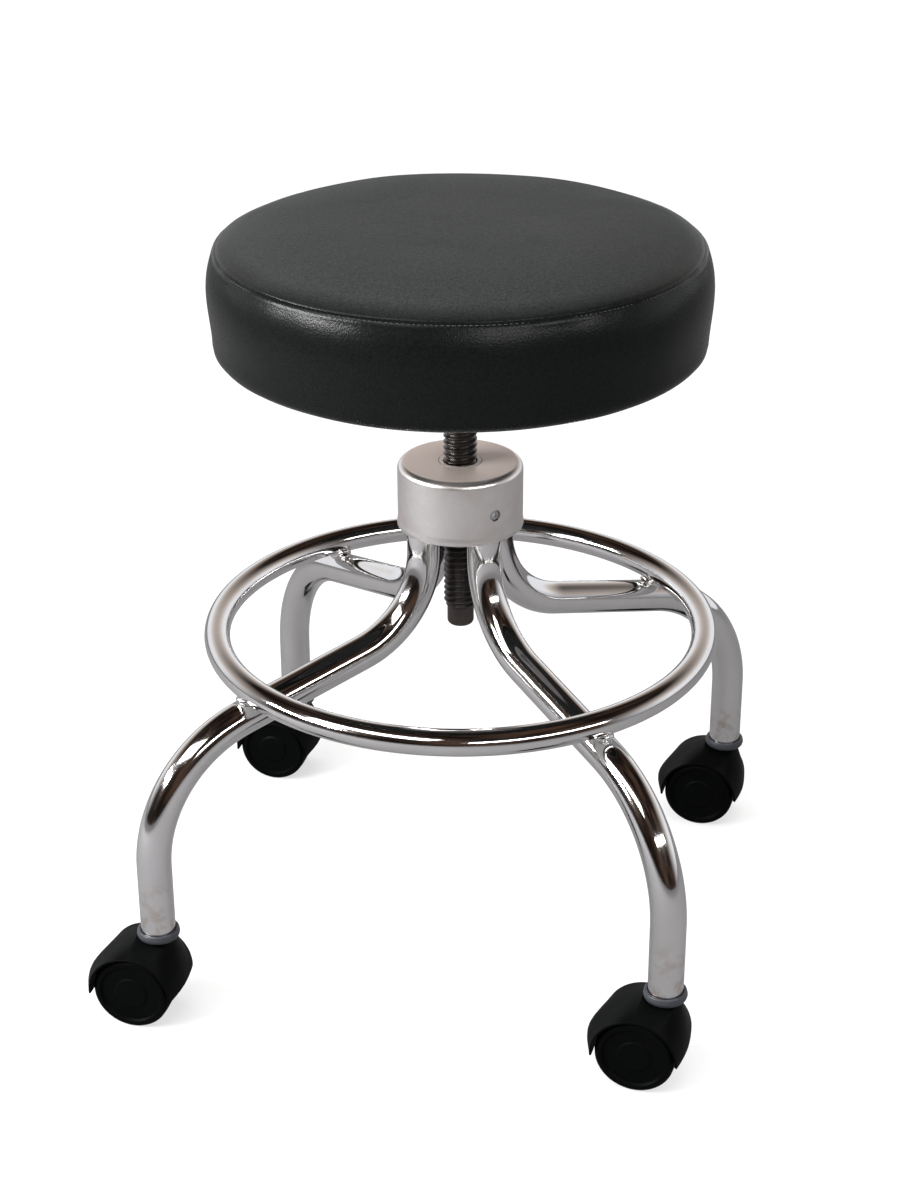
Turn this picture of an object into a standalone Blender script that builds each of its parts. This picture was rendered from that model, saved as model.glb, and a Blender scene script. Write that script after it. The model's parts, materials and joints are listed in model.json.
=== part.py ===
"""A rolling stool in metres, +Z up.

A padded round seat stands on a lift screw that turns in a threaded hub. Four bent tube legs
carry the hub and a foot ring, and each leg ends in a swivelling caster with two wheels.
"""

from math import ceil, cos, pi, radians, sin, tan

import bmesh
import bpy
from mathutils import Matrix, Vector

# Gaps between pieces
TOUCH = 0.0003
THREAD_PLAY = 0.00045
TURNING_PLAY = 0.0004

# Place of the stool's axis: the casters all trail to -X, so the box of the stool is centred behind it
AXIS_X = 0.0180
AXIS_Y = -0.0007

# Seat
SEAM_RADIUS = 0.1687
SEAM_HEIGHT = 0.5400
SEAM_GROOVE = 0.0009
CROWN = 0.0165
CROWN_SHARPNESS = 5.0
SEAT_SIDE = 0.0810
SIDE_BULGE = 0.0120
SIDE_BULGE_REACH = 0.35
SIDE_LOW_RADIUS = 0.1728
SIDE_LOW_ROUNDING = 0.0142
SIDE_LOW_REACH = 0.6
HEM_RADIUS = 0.134
FOAM_EDGE_LIFT = 0.001
COVER_THICKNESS = 0.0015
BOARD_RADIUS = 0.1355
BOARD_THICKNESS = 0.012
DUST_COVER_RADIUS = 0.139
DUST_COVER_THICKNESS = 0.0008

# Plate that joins the seat board to the lift screw
PLATE_RADIUS = 0.060
PLATE_THICKNESS = 0.004
BOSS_RADIUS = 0.019
BOSS_LENGTH = 0.012
PIN_RADIUS = 0.0024
PIN_SUNK = 0.001
PLATE_SCREW_CIRCLE = 0.047
PLATE_SCREW_COUNT = 4
PLATE_SCREW_RADIUS = 0.0022
PLATE_SCREW_LENGTH = 0.014
PLATE_SCREW_HEAD_RADIUS = 0.0045
PLATE_SCREW_HEAD_HEIGHT = 0.0028

# Lift screw
THREAD_RADIUS = 0.0122
THREAD_DEPTH = 0.0020
THREAD_PITCH = 0.0046
THREAD_LOW_END = 0.2643
STUB_RADIUS = 0.0098
STUB_LENGTH = 0.0150
STUB_ROUNDING = 0.0022
THREAD_RUN_OUT = 0.0006

# Hub
HUB_BOTTOM = 0.3303
HUB_HEIGHT = 0.0482
HUB_WALL = 0.0016
HUB_TOP_THICKNESS = 0.003
HUB_EDGE_ROUNDING = 0.0052
HUB_LIP = 0.0008
HUB_LIP_HEIGHT = 0.003
NUT_RECESS = 0.002
BUSH_WALL = 0.0028
BUSH_FLANGE = 0.0025
BUSH_FLANGE_WIDTH = 0.002
SET_SCREW_RADIUS = 0.004
SET_SCREW_LENGTH = 0.009
SET_SCREW_ABOVE_BOTTOM = 0.0212
SET_SCREW_SUNK = 0.0006
SET_SCREW_KEY_RADIUS = 0.0023
SET_SCREW_KEY_DEPTH = 0.004

# Legs
LEG_RADIUS = 0.0125
LEG_WALL = 0.0015
LEG_CIRCLE_AT_HUB = 0.031
LEG_CIRCLE_AT_FLOOR = 0.2593
LEG_SLOPE = radians(13.67)
LEG_TOP_BEND = 0.070
LEG_FOOT_BEND = 0.100
LEG_END_HEIGHT = 0.070
LEG_ANGLES = {"front_right": -45.0, "rear_right": 45.0, "rear_left": 135.0, "front_left": -135.0}

# Foot ring
RING_RADIUS = 0.1797
RING_TUBE_RADIUS = 0.0095
RING_WALL = 0.0012
RING_HEIGHT = 0.2471

# Caster sockets and stems
COLLAR_RADIUS = 0.0153
COLLAR_BELOW_LEG = 0.002
COLLAR_HEIGHT = 0.0065
COLLAR_ROUNDING = 0.0016
SOCKET_DEPTH = 0.036
STEM_RADIUS = 0.0055
STEM_NECK_RADIUS = 0.0043
STEM_NECK_LENGTH = 0.005
STEM_BELOW_COLLAR = 0.0115

# Caster hoods and wheels
WHEEL_RADIUS = 0.0285
WHEEL_WIDTH = 0.018
WHEEL_ROUNDING = 0.003
WHEEL_DISH = 0.0018
WHEEL_RIM_WIDTH = 0.0055
WHEEL_INNER_ROUNDING = 0.0014
CASTER_TRAIL = 0.0161
WEB_THICKNESS = 0.009
AXLE_RADIUS = 0.003
AXLE_SUNK = 0.002
HOOD_WIDTH = 0.0504
HOOD_WELL_PLAY = 0.0010
HOOD_RIM = 0.0016
HOOD_DOMING_POWER = 1.8
HOOD_LIP = 0.0050
HOOD_LIP_HEIGHT = 0.0262
HOOD_BACK_BULGE = 0.0180
HOOD_BACK_RISE = 0.0100
HOOD_CREST_REACH = 0.0045
HOOD_CREST_DIP = 0.0040
HOOD_NECK = 0.0090
HOOD_SHOULDER = 0.0018
HOOD_NOSE = 0.0174
HOOD_NOSE_HEIGHT = 0.0275
HOOD_NOSE_SWEEP = 0.0180
HOOD_CHIN = 0.0137
WEB_LOW_RADIUS = 0.0135
CASTER_HEADINGS = {"front_right": 175.2, "rear_right": 176.8, "rear_left": 177.0, "front_left": 178.5}

# Facets
SEAT_FACETS = 36
PLATE_FACETS = 24
HUB_FACETS = 28
THREAD_FACETS = 14
TUBE_FACETS = 12
RING_STEPS = 36
RING_FACETS = 10
WHEEL_FACETS = 16
WELL_FACETS = 24
PIN_FACETS = 10
HOOD_SLICES = 9
HOOD_STEPS = 6
BEND_STEPS = 5
CROWN_STEPS = 6
CROWN_SPACING = 0.5
CURVE_STEPS = 6
INSIDE_CROWN_STEPS = 4
INSIDE_CURVE_STEPS = 4

# Heights that follow from the sizes above
SEAT_BOTTOM = SEAM_HEIGHT - SEAT_SIDE
BOARD_BOTTOM = SEAT_BOTTOM + COVER_THICKNESS + TOUCH
BOARD_TOP = BOARD_BOTTOM + BOARD_THICKNESS
PLATE_TOP = BOARD_BOTTOM - TOUCH
PLATE_BOTTOM = PLATE_TOP - PLATE_THICKNESS
BOSS_BOTTOM = PLATE_BOTTOM - BOSS_LENGTH
SCREW_CORE_RADIUS = THREAD_RADIUS - THREAD_DEPTH
HUB_TOP = HUB_BOTTOM + HUB_HEIGHT
HUB_CEILING = HUB_TOP - HUB_TOP_THICKNESS
HUB_INNER_RADIUS = LEG_CIRCLE_AT_HUB + LEG_RADIUS + TOUCH
HUB_RADIUS = HUB_INNER_RADIUS + HUB_WALL
NUT_RADIUS = LEG_CIRCLE_AT_HUB - LEG_RADIUS - TOUCH
BUSH_BORE = THREAD_RADIUS + TURNING_PLAY
BUSH_RADIUS = BUSH_BORE + BUSH_WALL
NUT_TOP = HUB_CEILING - BUSH_FLANGE - 2 * TOUCH
NUT_BOTTOM = HUB_BOTTOM + NUT_RECESS
LEG_BORE = LEG_RADIUS - LEG_WALL
SOCKET_BORE = STEM_RADIUS + TOUCH
COLLAR_BOTTOM = LEG_END_HEIGHT - COLLAR_BELOW_LEG
COLLAR_TOP = COLLAR_BOTTOM + COLLAR_HEIGHT
WELL_RADIUS = WHEEL_RADIUS + HOOD_WELL_PLAY
HOOD_TOP = COLLAR_BOTTOM - TOUCH
AXLE_LENGTH = WEB_THICKNESS + 2 * TURNING_PLAY + 2 * WHEEL_WIDTH - 2 * AXLE_SUNK


def clear_scene():
    for item in list(bpy.data.objects):
        bpy.data.objects.remove(item, do_unlink=True)


def finish(name, color, roughness, metallic):
    material = bpy.data.materials.new(name)
    material.use_nodes = True
    shader = material.node_tree.nodes["Principled BSDF"]
    shader.inputs["Base Color"].default_value = (*color, 1.0)
    shader.inputs["Roughness"].default_value = roughness
    shader.inputs["Metallic"].default_value = metallic
    return material


def new_object(name, bm, material, parent=None):
    """Turn a closed bmesh into an object, with its faces pointing out."""
    bmesh.ops.recalc_face_normals(bm, faces=bm.faces)
    mesh = bpy.data.meshes.new(name)
    bm.to_mesh(mesh)
    bm.free()
    mesh.shade_smooth()
    mesh.set_sharp_from_angle(angle=radians(35))
    mesh.materials.append(material)
    item = bpy.data.objects.new(name, mesh)
    bpy.context.collection.objects.link(item)
    item.parent = parent
    return item


def new_empty(name, location, turn=0.0, parent=None):
    item = bpy.data.objects.new(name, None)
    item.location = location
    item.rotation_euler = (0.0, 0.0, turn)
    item.empty_display_size = 0.02
    bpy.context.collection.objects.link(item)
    item.parent = parent
    return item


def arc(centre, radius, start, end, steps):
    """Points of an arc in a plane, from one angle in degrees to another."""
    points = []
    for i in range(steps + 1):
        angle = radians(start + (end - start) * i / steps)
        points.append((centre[0] + radius * cos(angle), centre[1] + radius * sin(angle)))
    return points


def bezier(p0, p1, p2, p3, steps):
    """Points of a cubic curve in a plane, its first one left out."""
    points = []
    for i in range(1, steps + 1):
        t = i / steps
        a, b, c, d = (1 - t) ** 3, 3 * t * (1 - t) ** 2, 3 * t * t * (1 - t), t ** 3
        points.append(tuple(a * p0[k] + b * p1[k] + c * p2[k] + d * p3[k] for k in (0, 1)))
    return points


def spin_outline(outline, steps, start=0.0, closed=True):
    """Turn an outline of (radius, height) points round the Z axis."""
    bm = bmesh.new()
    turn = Matrix.Rotation(start, 3, "Z")
    verts = [bm.verts.new(turn @ Vector((radius, 0.0, height))) for radius, height in outline]
    pairs = list(zip(verts, verts[1:]))
    if closed:
        pairs.append((verts[-1], verts[0]))
    edges = [bm.edges.new(pair) for pair in pairs]
    bmesh.ops.spin(bm, geom=verts + edges, cent=(0, 0, 0), axis=(0, 0, 1), angle=2 * pi,
                   steps=steps, use_duplicate=False)
    bmesh.ops.remove_doubles(bm, verts=bm.verts, dist=1e-6)
    return bm


def turned(name, outline, steps, material, parent=None, closed=True, start=0.0):
    """A turned piece: a closed outline, or an open one that starts and ends on the axis."""
    return new_object(name, spin_outline(outline, steps, start, closed), material, parent)


def drill(item, radius, length, centre, direction, facets=TUBE_FACETS):
    """Cut a round hole whose middle lies at centre, along direction."""
    bm = bmesh.new()
    bmesh.ops.create_cone(bm, cap_ends=True, segments=facets, radius1=radius, radius2=radius,
                          depth=length)
    mesh = bpy.data.meshes.new(item.name + "_drill")
    bm.to_mesh(mesh)
    bm.free()
    cutter = bpy.data.objects.new(item.name + "_drill", mesh)
    bpy.context.collection.objects.link(cutter)
    cutter.parent = item
    cutter.location = centre
    cutter.rotation_euler = Vector(direction).to_track_quat("Z", "Y").to_euler()
    cutter.hide_render = True
    cutter.display_type = "WIRE"
    cut = item.modifiers.new("hole", "BOOLEAN")
    cut.operation = "DIFFERENCE"
    cut.solver = "EXACT"
    cut.object = cutter


def ring_of_verts(bm, centre, across, up, radius, facets):
    ring = []
    for i in range(facets):
        angle = 2 * pi * i / facets
        ring.append(bm.verts.new(centre + radius * (cos(angle) * across + sin(angle) * up)))
    return ring


def join_rings(bm, first, second):
    count = len(first)
    for i in range(count):
        j = (i + 1) % count
        bm.faces.new((first[i], first[j], second[j], second[i]))


def seat_crown(radius):
    return SEAM_HEIGHT + CROWN * (1 - (radius / SEAM_RADIUS) ** CROWN_SHARPNESS)


def seat_skin(depth, crown_steps, side_steps):
    """Outline of the seat from its centre over the seam to the hem, set in by depth."""
    points = []
    for i in range(crown_steps + 1):
        radius = SEAM_RADIUS * (i / crown_steps) ** CROWN_SPACING
        points.append((radius, seat_crown(radius)))
    seam = points[-1]
    if depth == 0:
        points[-1] = (seam[0] - SEAM_GROOVE, seam[1] - SEAM_GROOVE)
    low = (SIDE_LOW_RADIUS, SEAT_BOTTOM + SIDE_LOW_ROUNDING)
    reach = SIDE_BULGE_REACH * (SEAM_HEIGHT - low[1])
    points += bezier(seam, (SEAM_RADIUS + SIDE_BULGE, SEAM_HEIGHT - reach), (low[0], low[1] + reach), low,
                     side_steps)
    points += bezier(low, (low[0], low[1] - SIDE_LOW_REACH * SIDE_LOW_ROUNDING),
                     ((SIDE_LOW_RADIUS + HEM_RADIUS) / 2, SEAT_BOTTOM), (HEM_RADIUS, SEAT_BOTTOM), side_steps)
    inner = []
    for i, point in enumerate(points):
        before = Vector(points[max(i - 1, 0)])
        after = Vector(points[min(i + 1, len(points) - 1)])
        along = (after - before).normalized()
        if i in (0, len(points) - 1):
            along = Vector((1, 0)) if i == 0 else Vector((-1, 0))
        inward = Vector((along.y, -along.x))
        inner.append((max(point[0] + depth * inward.x, 0.0), point[1] + depth * inward.y))
    return inner


def make_seat(parent, vinyl, foam, wood, cloth, steel, dark_steel):
    """The cushion, its board, and the plate that the lift screw is pinned into."""
    outside = seat_skin(0.0, CROWN_STEPS, CURVE_STEPS)
    inside = seat_skin(COVER_THICKNESS, INSIDE_CROWN_STEPS, INSIDE_CURVE_STEPS)
    inside[0] = (0.0, inside[0][1])
    turned("seat_cover", outside + inside[::-1], SEAT_FACETS, vinyl, parent, closed=False)

    core = seat_skin(COVER_THICKNESS + TOUCH, INSIDE_CROWN_STEPS, INSIDE_CURVE_STEPS)
    core = [point for point in core if point[0] < 0.5 * BOARD_RADIUS or point[1] > BOARD_BOTTOM + 2 * FOAM_EDGE_LIFT]
    core.append((BOARD_RADIUS + TOUCH, BOARD_BOTTOM + FOAM_EDGE_LIFT))
    core.append((BOARD_RADIUS + TOUCH, BOARD_TOP + TOUCH))
    core.append((0.0, BOARD_TOP + TOUCH))
    turned("seat_foam", core, SEAT_FACETS, foam, parent, closed=False)

    board = turned("seat_board", [(0.0, BOARD_BOTTOM), (BOARD_RADIUS, BOARD_BOTTOM),
                                  (BOARD_RADIUS, BOARD_TOP), (0.0, BOARD_TOP)],
                   SEAT_FACETS, wood, parent, closed=False)
    dust_top = SEAT_BOTTOM - TOUCH
    dust_bottom = dust_top - DUST_COVER_THICKNESS
    dust_inner = PLATE_RADIUS + TOUCH
    turned("seat_dust_cover", [(dust_inner, dust_bottom), (DUST_COVER_RADIUS, dust_bottom),
                               (DUST_COVER_RADIUS, dust_top), (dust_inner, dust_top)],
           SEAT_FACETS, cloth, parent)

    bore = SCREW_CORE_RADIUS + TOUCH
    plate = turned("seat_plate", [(bore, BOSS_BOTTOM), (BOSS_RADIUS, BOSS_BOTTOM),
                                  (BOSS_RADIUS, PLATE_BOTTOM), (PLATE_RADIUS, PLATE_BOTTOM),
                                  (PLATE_RADIUS, PLATE_TOP), (bore, PLATE_TOP)],
                   PLATE_FACETS, steel, parent)
    pin_height = PLATE_BOTTOM - 0.5 * BOSS_LENGTH
    drill(plate, PIN_RADIUS + TOUCH, 4 * BOSS_RADIUS, (0, 0, pin_height), (1, 0, 0))
    half = BOSS_RADIUS - PIN_SUNK
    pin_mesh = spin_outline([(0.0, -half), (PIN_RADIUS, -half), (PIN_RADIUS, half), (0.0, half)], PIN_FACETS,
                            closed=False)
    pin = new_object("boss_pin", pin_mesh, dark_steel, parent)
    pin.rotation_euler = (0.0, pi / 2, 0.0)
    pin.location = (0.0, 0.0, pin_height)

    head_top = PLATE_BOTTOM - TOUCH
    shank_top = head_top + PLATE_SCREW_LENGTH
    outline = [(0.0, head_top - PLATE_SCREW_HEAD_HEIGHT),
               (0.6 * PLATE_SCREW_HEAD_RADIUS, head_top - PLATE_SCREW_HEAD_HEIGHT),
               (PLATE_SCREW_HEAD_RADIUS, head_top - 0.4 * PLATE_SCREW_HEAD_HEIGHT),
               (PLATE_SCREW_HEAD_RADIUS, head_top), (PLATE_SCREW_RADIUS, head_top),
               (PLATE_SCREW_RADIUS, shank_top - 2 * PLATE_SCREW_RADIUS), (0.0, shank_top)]
    for i in range(PLATE_SCREW_COUNT):
        angle = 2 * pi * (i + 0.5) / PLATE_SCREW_COUNT
        x, y = PLATE_SCREW_CIRCLE * cos(angle), PLATE_SCREW_CIRCLE * sin(angle)
        hole = PLATE_SCREW_RADIUS + TOUCH
        drill(plate, hole, 4 * PLATE_THICKNESS, (x, y, PLATE_TOP), (0, 0, 1))
        drill(board, hole, 2 * PLATE_SCREW_LENGTH, (x, y, shank_top + TOUCH - PLATE_SCREW_LENGTH), (0, 0, 1))
        screw = turned(f"plate_screw_{i + 1}", outline, PIN_FACETS, steel, parent, closed=False)
        screw.location = (x, y, 0.0)
    return pin_height


def thread_grid(bm, low, turns, outer, inner, fade_to_outer):
    """Rows of vertices along a V thread: crests and roots, which fade out over its end turns.

    Column i stands at angle i of the facets. Its vertices climb by half a pitch each, and the
    whole column is a facet's share of the pitch above the one before.
    """
    columns = []
    rows = 2 * turns + 1
    length = turns + (THREAD_FACETS - 1) / THREAD_FACETS
    for i in range(THREAD_FACETS):
        angle = 2 * pi * i / THREAD_FACETS
        column = []
        for j in range(rows):
            along = 0.5 * j + i / THREAD_FACETS
            grown = min(max(min(along, length - along) - 1.0, 0.0), 1.0)
            if fade_to_outer:
                radius = outer if j % 2 else outer + (inner - outer) * grown
            else:
                radius = inner + (outer - inner) * grown if j % 2 else inner
            height = low + THREAD_PITCH * along
            column.append(bm.verts.new((radius * cos(angle), radius * sin(angle), height)))
        columns.append(column)
    for i, column in enumerate(columns):
        last = i == THREAD_FACETS - 1
        beside = columns[0][2:] if last else columns[i + 1]
        for j in range(min(len(column), len(beside)) - 1):
            bm.faces.new((column[j], beside[j], beside[j + 1], column[j + 1]))
    return columns


def flat_end(bm, columns, ring, at_top):
    """Fill the step between a thread's last turn and a flat ring of as many vertices."""
    for i in range(len(columns) - 1):
        row = -1 if at_top else 0
        bm.faces.new((columns[i][row], columns[i + 1][row], ring[i + 1], ring[i]))
    first, last = columns[0], columns[-1]
    if at_top:
        bm.faces.new((last[-3], last[-2], last[-1], ring[-1], ring[0], first[-1]))
    else:
        bm.faces.new((last[0], first[2], first[1], first[0], ring[0], ring[-1]))


def level_ring(bm, radius, height):
    centre = Vector((0, 0, height))
    return ring_of_verts(bm, centre, Vector((1, 0, 0)), Vector((0, 1, 0)), radius, THREAD_FACETS)


def make_lift_screw(parent, blackened, pin_height):
    """The seat's screw: pinned spigot, long thread and plain stub."""
    bm = bmesh.new()
    thread_top = BOSS_BOTTOM - TOUCH
    turns = int((thread_top - THREAD_LOW_END) / THREAD_PITCH) - 1
    columns = thread_grid(bm, THREAD_LOW_END, turns, THREAD_RADIUS, SCREW_CORE_RADIUS, False)
    low = level_ring(bm, SCREW_CORE_RADIUS, THREAD_LOW_END - THREAD_RUN_OUT)
    high = level_ring(bm, SCREW_CORE_RADIUS, PLATE_TOP - TOUCH)
    flat_end(bm, columns, low, False)
    flat_end(bm, columns, high, True)
    stub_low = THREAD_LOW_END - STUB_LENGTH
    previous = low
    stub = [(STUB_RADIUS, THREAD_LOW_END - THREAD_RUN_OUT - (SCREW_CORE_RADIUS - STUB_RADIUS))]
    stub += arc((STUB_RADIUS - STUB_ROUNDING, stub_low + STUB_ROUNDING), STUB_ROUNDING, 0, -90, 3)
    for radius, height in stub:
        ring = level_ring(bm, radius, height)
        join_rings(bm, previous, ring)
        previous = ring
    bm.faces.new(previous)
    bm.faces.new(high)
    screw = new_object("lift_screw", bm, blackened, parent)
    drill(screw, PIN_RADIUS + TOUCH, 4 * BOSS_RADIUS, (0, 0, pin_height), (1, 0, 0))


def make_hub(parent, satin, steel, nylon, dark_steel):
    """Cover, threaded nut, guide bush and set screw. Returns the height of the set screw."""
    hole = BUSH_RADIUS + TOUCH
    rounding = HUB_EDGE_ROUNDING
    outline = [(HUB_INNER_RADIUS, HUB_BOTTOM), (HUB_RADIUS + HUB_LIP, HUB_BOTTOM),
               (HUB_RADIUS, HUB_BOTTOM + HUB_LIP_HEIGHT)]
    outline += arc((HUB_RADIUS - rounding, HUB_TOP - rounding), rounding, 0, 90, 3)
    outline += [(hole, HUB_TOP), (hole, HUB_CEILING), (HUB_INNER_RADIUS, HUB_CEILING)]
    cover = turned("hub_cover", outline, HUB_FACETS, satin, parent)
    angle = radians(LEG_ANGLES["front_right"])
    out = Vector((cos(angle), sin(angle), 0.0))
    height = HUB_BOTTOM + SET_SCREW_ABOVE_BOTTOM
    middle = HUB_RADIUS - SET_SCREW_SUNK - 0.5 * SET_SCREW_LENGTH
    place = out * middle + Vector((0, 0, height))
    drill(cover, SET_SCREW_RADIUS + TOUCH, 2 * SET_SCREW_LENGTH, place, out)
    half = 0.5 * SET_SCREW_LENGTH
    body = spin_outline([(0.0, -half), (0.6 * SET_SCREW_RADIUS, -half), (SET_SCREW_RADIUS, -0.7 * half),
                         (SET_SCREW_RADIUS, half), (0.0, half)], 12, closed=False)
    screw = new_object("set_screw", body, dark_steel, parent)
    screw.location = place
    screw.rotation_euler = out.to_track_quat("Z", "Y").to_euler()
    drill(screw, SET_SCREW_KEY_RADIUS, 2 * SET_SCREW_KEY_DEPTH, (0, 0, half), (0, 0, 1), facets=6)

    bm = bmesh.new()
    pitches_up = ceil((NUT_BOTTOM - THREAD_LOW_END) / THREAD_PITCH + 0.1)
    low = THREAD_LOW_END + pitches_up * THREAD_PITCH
    turns = int((NUT_TOP - low) / THREAD_PITCH - 0.1) - 1
    groove = THREAD_RADIUS + THREAD_PLAY
    ridge = SCREW_CORE_RADIUS + THREAD_PLAY
    columns = thread_grid(bm, low, turns, groove, ridge, True)
    bottom_inner = level_ring(bm, groove, NUT_BOTTOM)
    top_inner = level_ring(bm, groove, NUT_TOP)
    flat_end(bm, columns, bottom_inner, False)
    flat_end(bm, columns, top_inner, True)
    bottom_outer = level_ring(bm, NUT_RADIUS, NUT_BOTTOM)
    top_outer = level_ring(bm, NUT_RADIUS, NUT_TOP)
    join_rings(bm, bottom_inner, bottom_outer)
    join_rings(bm, bottom_outer, top_outer)
    join_rings(bm, top_outer, top_inner)
    new_object("hub_nut", bm, steel, parent)

    flange_low = NUT_TOP + TOUCH
    flange_high = flange_low + BUSH_FLANGE
    flange_radius = BUSH_RADIUS + BUSH_FLANGE_WIDTH
    turned("guide_bush", [(BUSH_BORE, flange_low), (flange_radius, flange_low), (flange_radius, flange_high),
                          (BUSH_RADIUS, flange_high), (BUSH_RADIUS, HUB_TOP), (BUSH_BORE, HUB_TOP)],
           PLATE_FACETS, nylon, parent)
    return height


def leg_path():
    """Middle line of a leg in its own upright plane, as (distance from the axis, height) points."""
    along = Vector((cos(LEG_SLOPE), -sin(LEG_SLOPE)))
    square = Vector((sin(LEG_SLOPE), cos(LEG_SLOPE)))
    under_ring = Vector((RING_RADIUS, RING_HEIGHT)) - square * (RING_TUBE_RADIUS + LEG_RADIUS + TOUCH)
    top_corner = under_ring + along * ((LEG_CIRCLE_AT_HUB - under_ring.x) / along.x)
    foot_corner = under_ring + along * ((LEG_CIRCLE_AT_FLOOR - under_ring.x) / along.x)
    half_turn = (pi / 2 - LEG_SLOPE) / 2
    turn = 90 - LEG_SLOPE * 180 / pi
    top_start = top_corner.y + LEG_TOP_BEND * tan(half_turn)
    foot_end = foot_corner.y - LEG_FOOT_BEND * tan(half_turn)
    points = [(LEG_CIRCLE_AT_HUB, HUB_CEILING - TOUCH)]
    points += arc((LEG_CIRCLE_AT_HUB + LEG_TOP_BEND, top_start), LEG_TOP_BEND, 180, 180 + turn, BEND_STEPS)
    points += arc((LEG_CIRCLE_AT_FLOOR - LEG_FOOT_BEND, foot_end), LEG_FOOT_BEND, turn, 0, BEND_STEPS)
    points.append((LEG_CIRCLE_AT_FLOOR, LEG_END_HEIGHT))
    return points


def make_leg(side, parent, chrome):
    """One bent tube, open at both ends."""
    path = [Vector((x, 0.0, z)) for x, z in leg_path()]
    bm = bmesh.new()
    sideways = Vector((0, 1, 0))
    outer_rings, inner_rings = [], []
    for i, point in enumerate(path):
        before = path[max(i - 1, 0)]
        after = path[min(i + 1, len(path) - 1)]
        along = ((after - point).normalized() if after != point else Vector((0, 0, 0)))
        along += ((point - before).normalized() if before != point else Vector((0, 0, 0)))
        along.normalize()
        across = sideways.cross(along)
        outer_rings.append(ring_of_verts(bm, point, across, sideways, LEG_RADIUS, TUBE_FACETS))
        inner_rings.append(ring_of_verts(bm, point, across, sideways, LEG_BORE, TUBE_FACETS))
    for rings in (outer_rings, inner_rings):
        for first, second in zip(rings, rings[1:]):
            join_rings(bm, first, second)
    join_rings(bm, outer_rings[0], inner_rings[0])
    join_rings(bm, outer_rings[-1], inner_rings[-1])
    leg = new_object(f"leg_{side}", bm, chrome, parent)
    leg.rotation_euler = (0.0, 0.0, radians(LEG_ANGLES[side]))
    return leg


def make_foot_ring(parent, chrome):
    """A bent tube closed on itself, with the drain hole that plating needs in its underside."""
    bm = bmesh.new()
    outer_rings, inner_rings = [], []
    for i in range(RING_STEPS):
        angle = 2 * pi * i / RING_STEPS
        out = Vector((cos(angle), sin(angle), 0.0))
        centre = out * RING_RADIUS + Vector((0, 0, RING_HEIGHT))
        up = Vector((0, 0, 1))
        outer_rings.append(ring_of_verts(bm, centre, up, out, RING_TUBE_RADIUS, RING_FACETS))
        inner_rings.append(ring_of_verts(bm, centre, up, out, RING_TUBE_RADIUS - RING_WALL, RING_FACETS))
    underside = RING_FACETS // 2
    for i in range(RING_STEPS):
        ahead = (i + 1) % RING_STEPS
        for k in range(RING_FACETS):
            beside = (k + 1) % RING_FACETS
            corners = ((i, k), (ahead, k), (ahead, beside), (i, beside))
            outer = [outer_rings[a][b] for a, b in corners]
            inner = [inner_rings[a][b] for a, b in corners]
            if i == 0 and k == underside:
                join_rings(bm, outer, inner)
            else:
                bm.faces.new(outer)
                bm.faces.new(inner)
    new_object("foot_ring", bm, chrome, parent)


def make_socket(side, parent, collar_plastic, zinc):
    """The collar and sleeve in a leg's end, and the steel stem that it grips."""
    sleeve = LEG_BORE - TOUCH
    pocket = LEG_RADIUS + TOUCH
    floor = LEG_END_HEIGHT - TOUCH
    r = COLLAR_ROUNDING
    outline = [(SOCKET_BORE, COLLAR_BOTTOM)]
    outline += arc((COLLAR_RADIUS - r, COLLAR_BOTTOM + r), r, -90, 0, 2)
    outline += arc((COLLAR_RADIUS - r, COLLAR_TOP - r), r, 0, 90, 2)
    outline += [(pocket, COLLAR_TOP), (pocket, floor), (sleeve, floor),
                (sleeve, COLLAR_TOP + SOCKET_DEPTH), (SOCKET_BORE, COLLAR_TOP + SOCKET_DEPTH)]
    turned(f"socket_{side}", outline, TUBE_FACETS, collar_plastic, parent)

    top = COLLAR_TOP + SOCKET_DEPTH
    neck_top = top - STEM_NECK_LENGTH
    step = STEM_RADIUS - STEM_NECK_RADIUS
    neck_low = neck_top - STEM_NECK_LENGTH
    low = COLLAR_BOTTOM - STEM_BELOW_COLLAR
    outline = [(0.0, low), (STEM_RADIUS, low), (STEM_RADIUS, neck_low), (STEM_NECK_RADIUS, neck_low + step),
               (STEM_NECK_RADIUS, neck_top - step), (STEM_RADIUS, neck_top), (STEM_RADIUS, top - 2 * step),
               (0.5 * STEM_RADIUS, top), (0.0, top)]
    turned(f"stem_{side}", outline, TUBE_FACETS, zinc, parent, closed=False)


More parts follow.
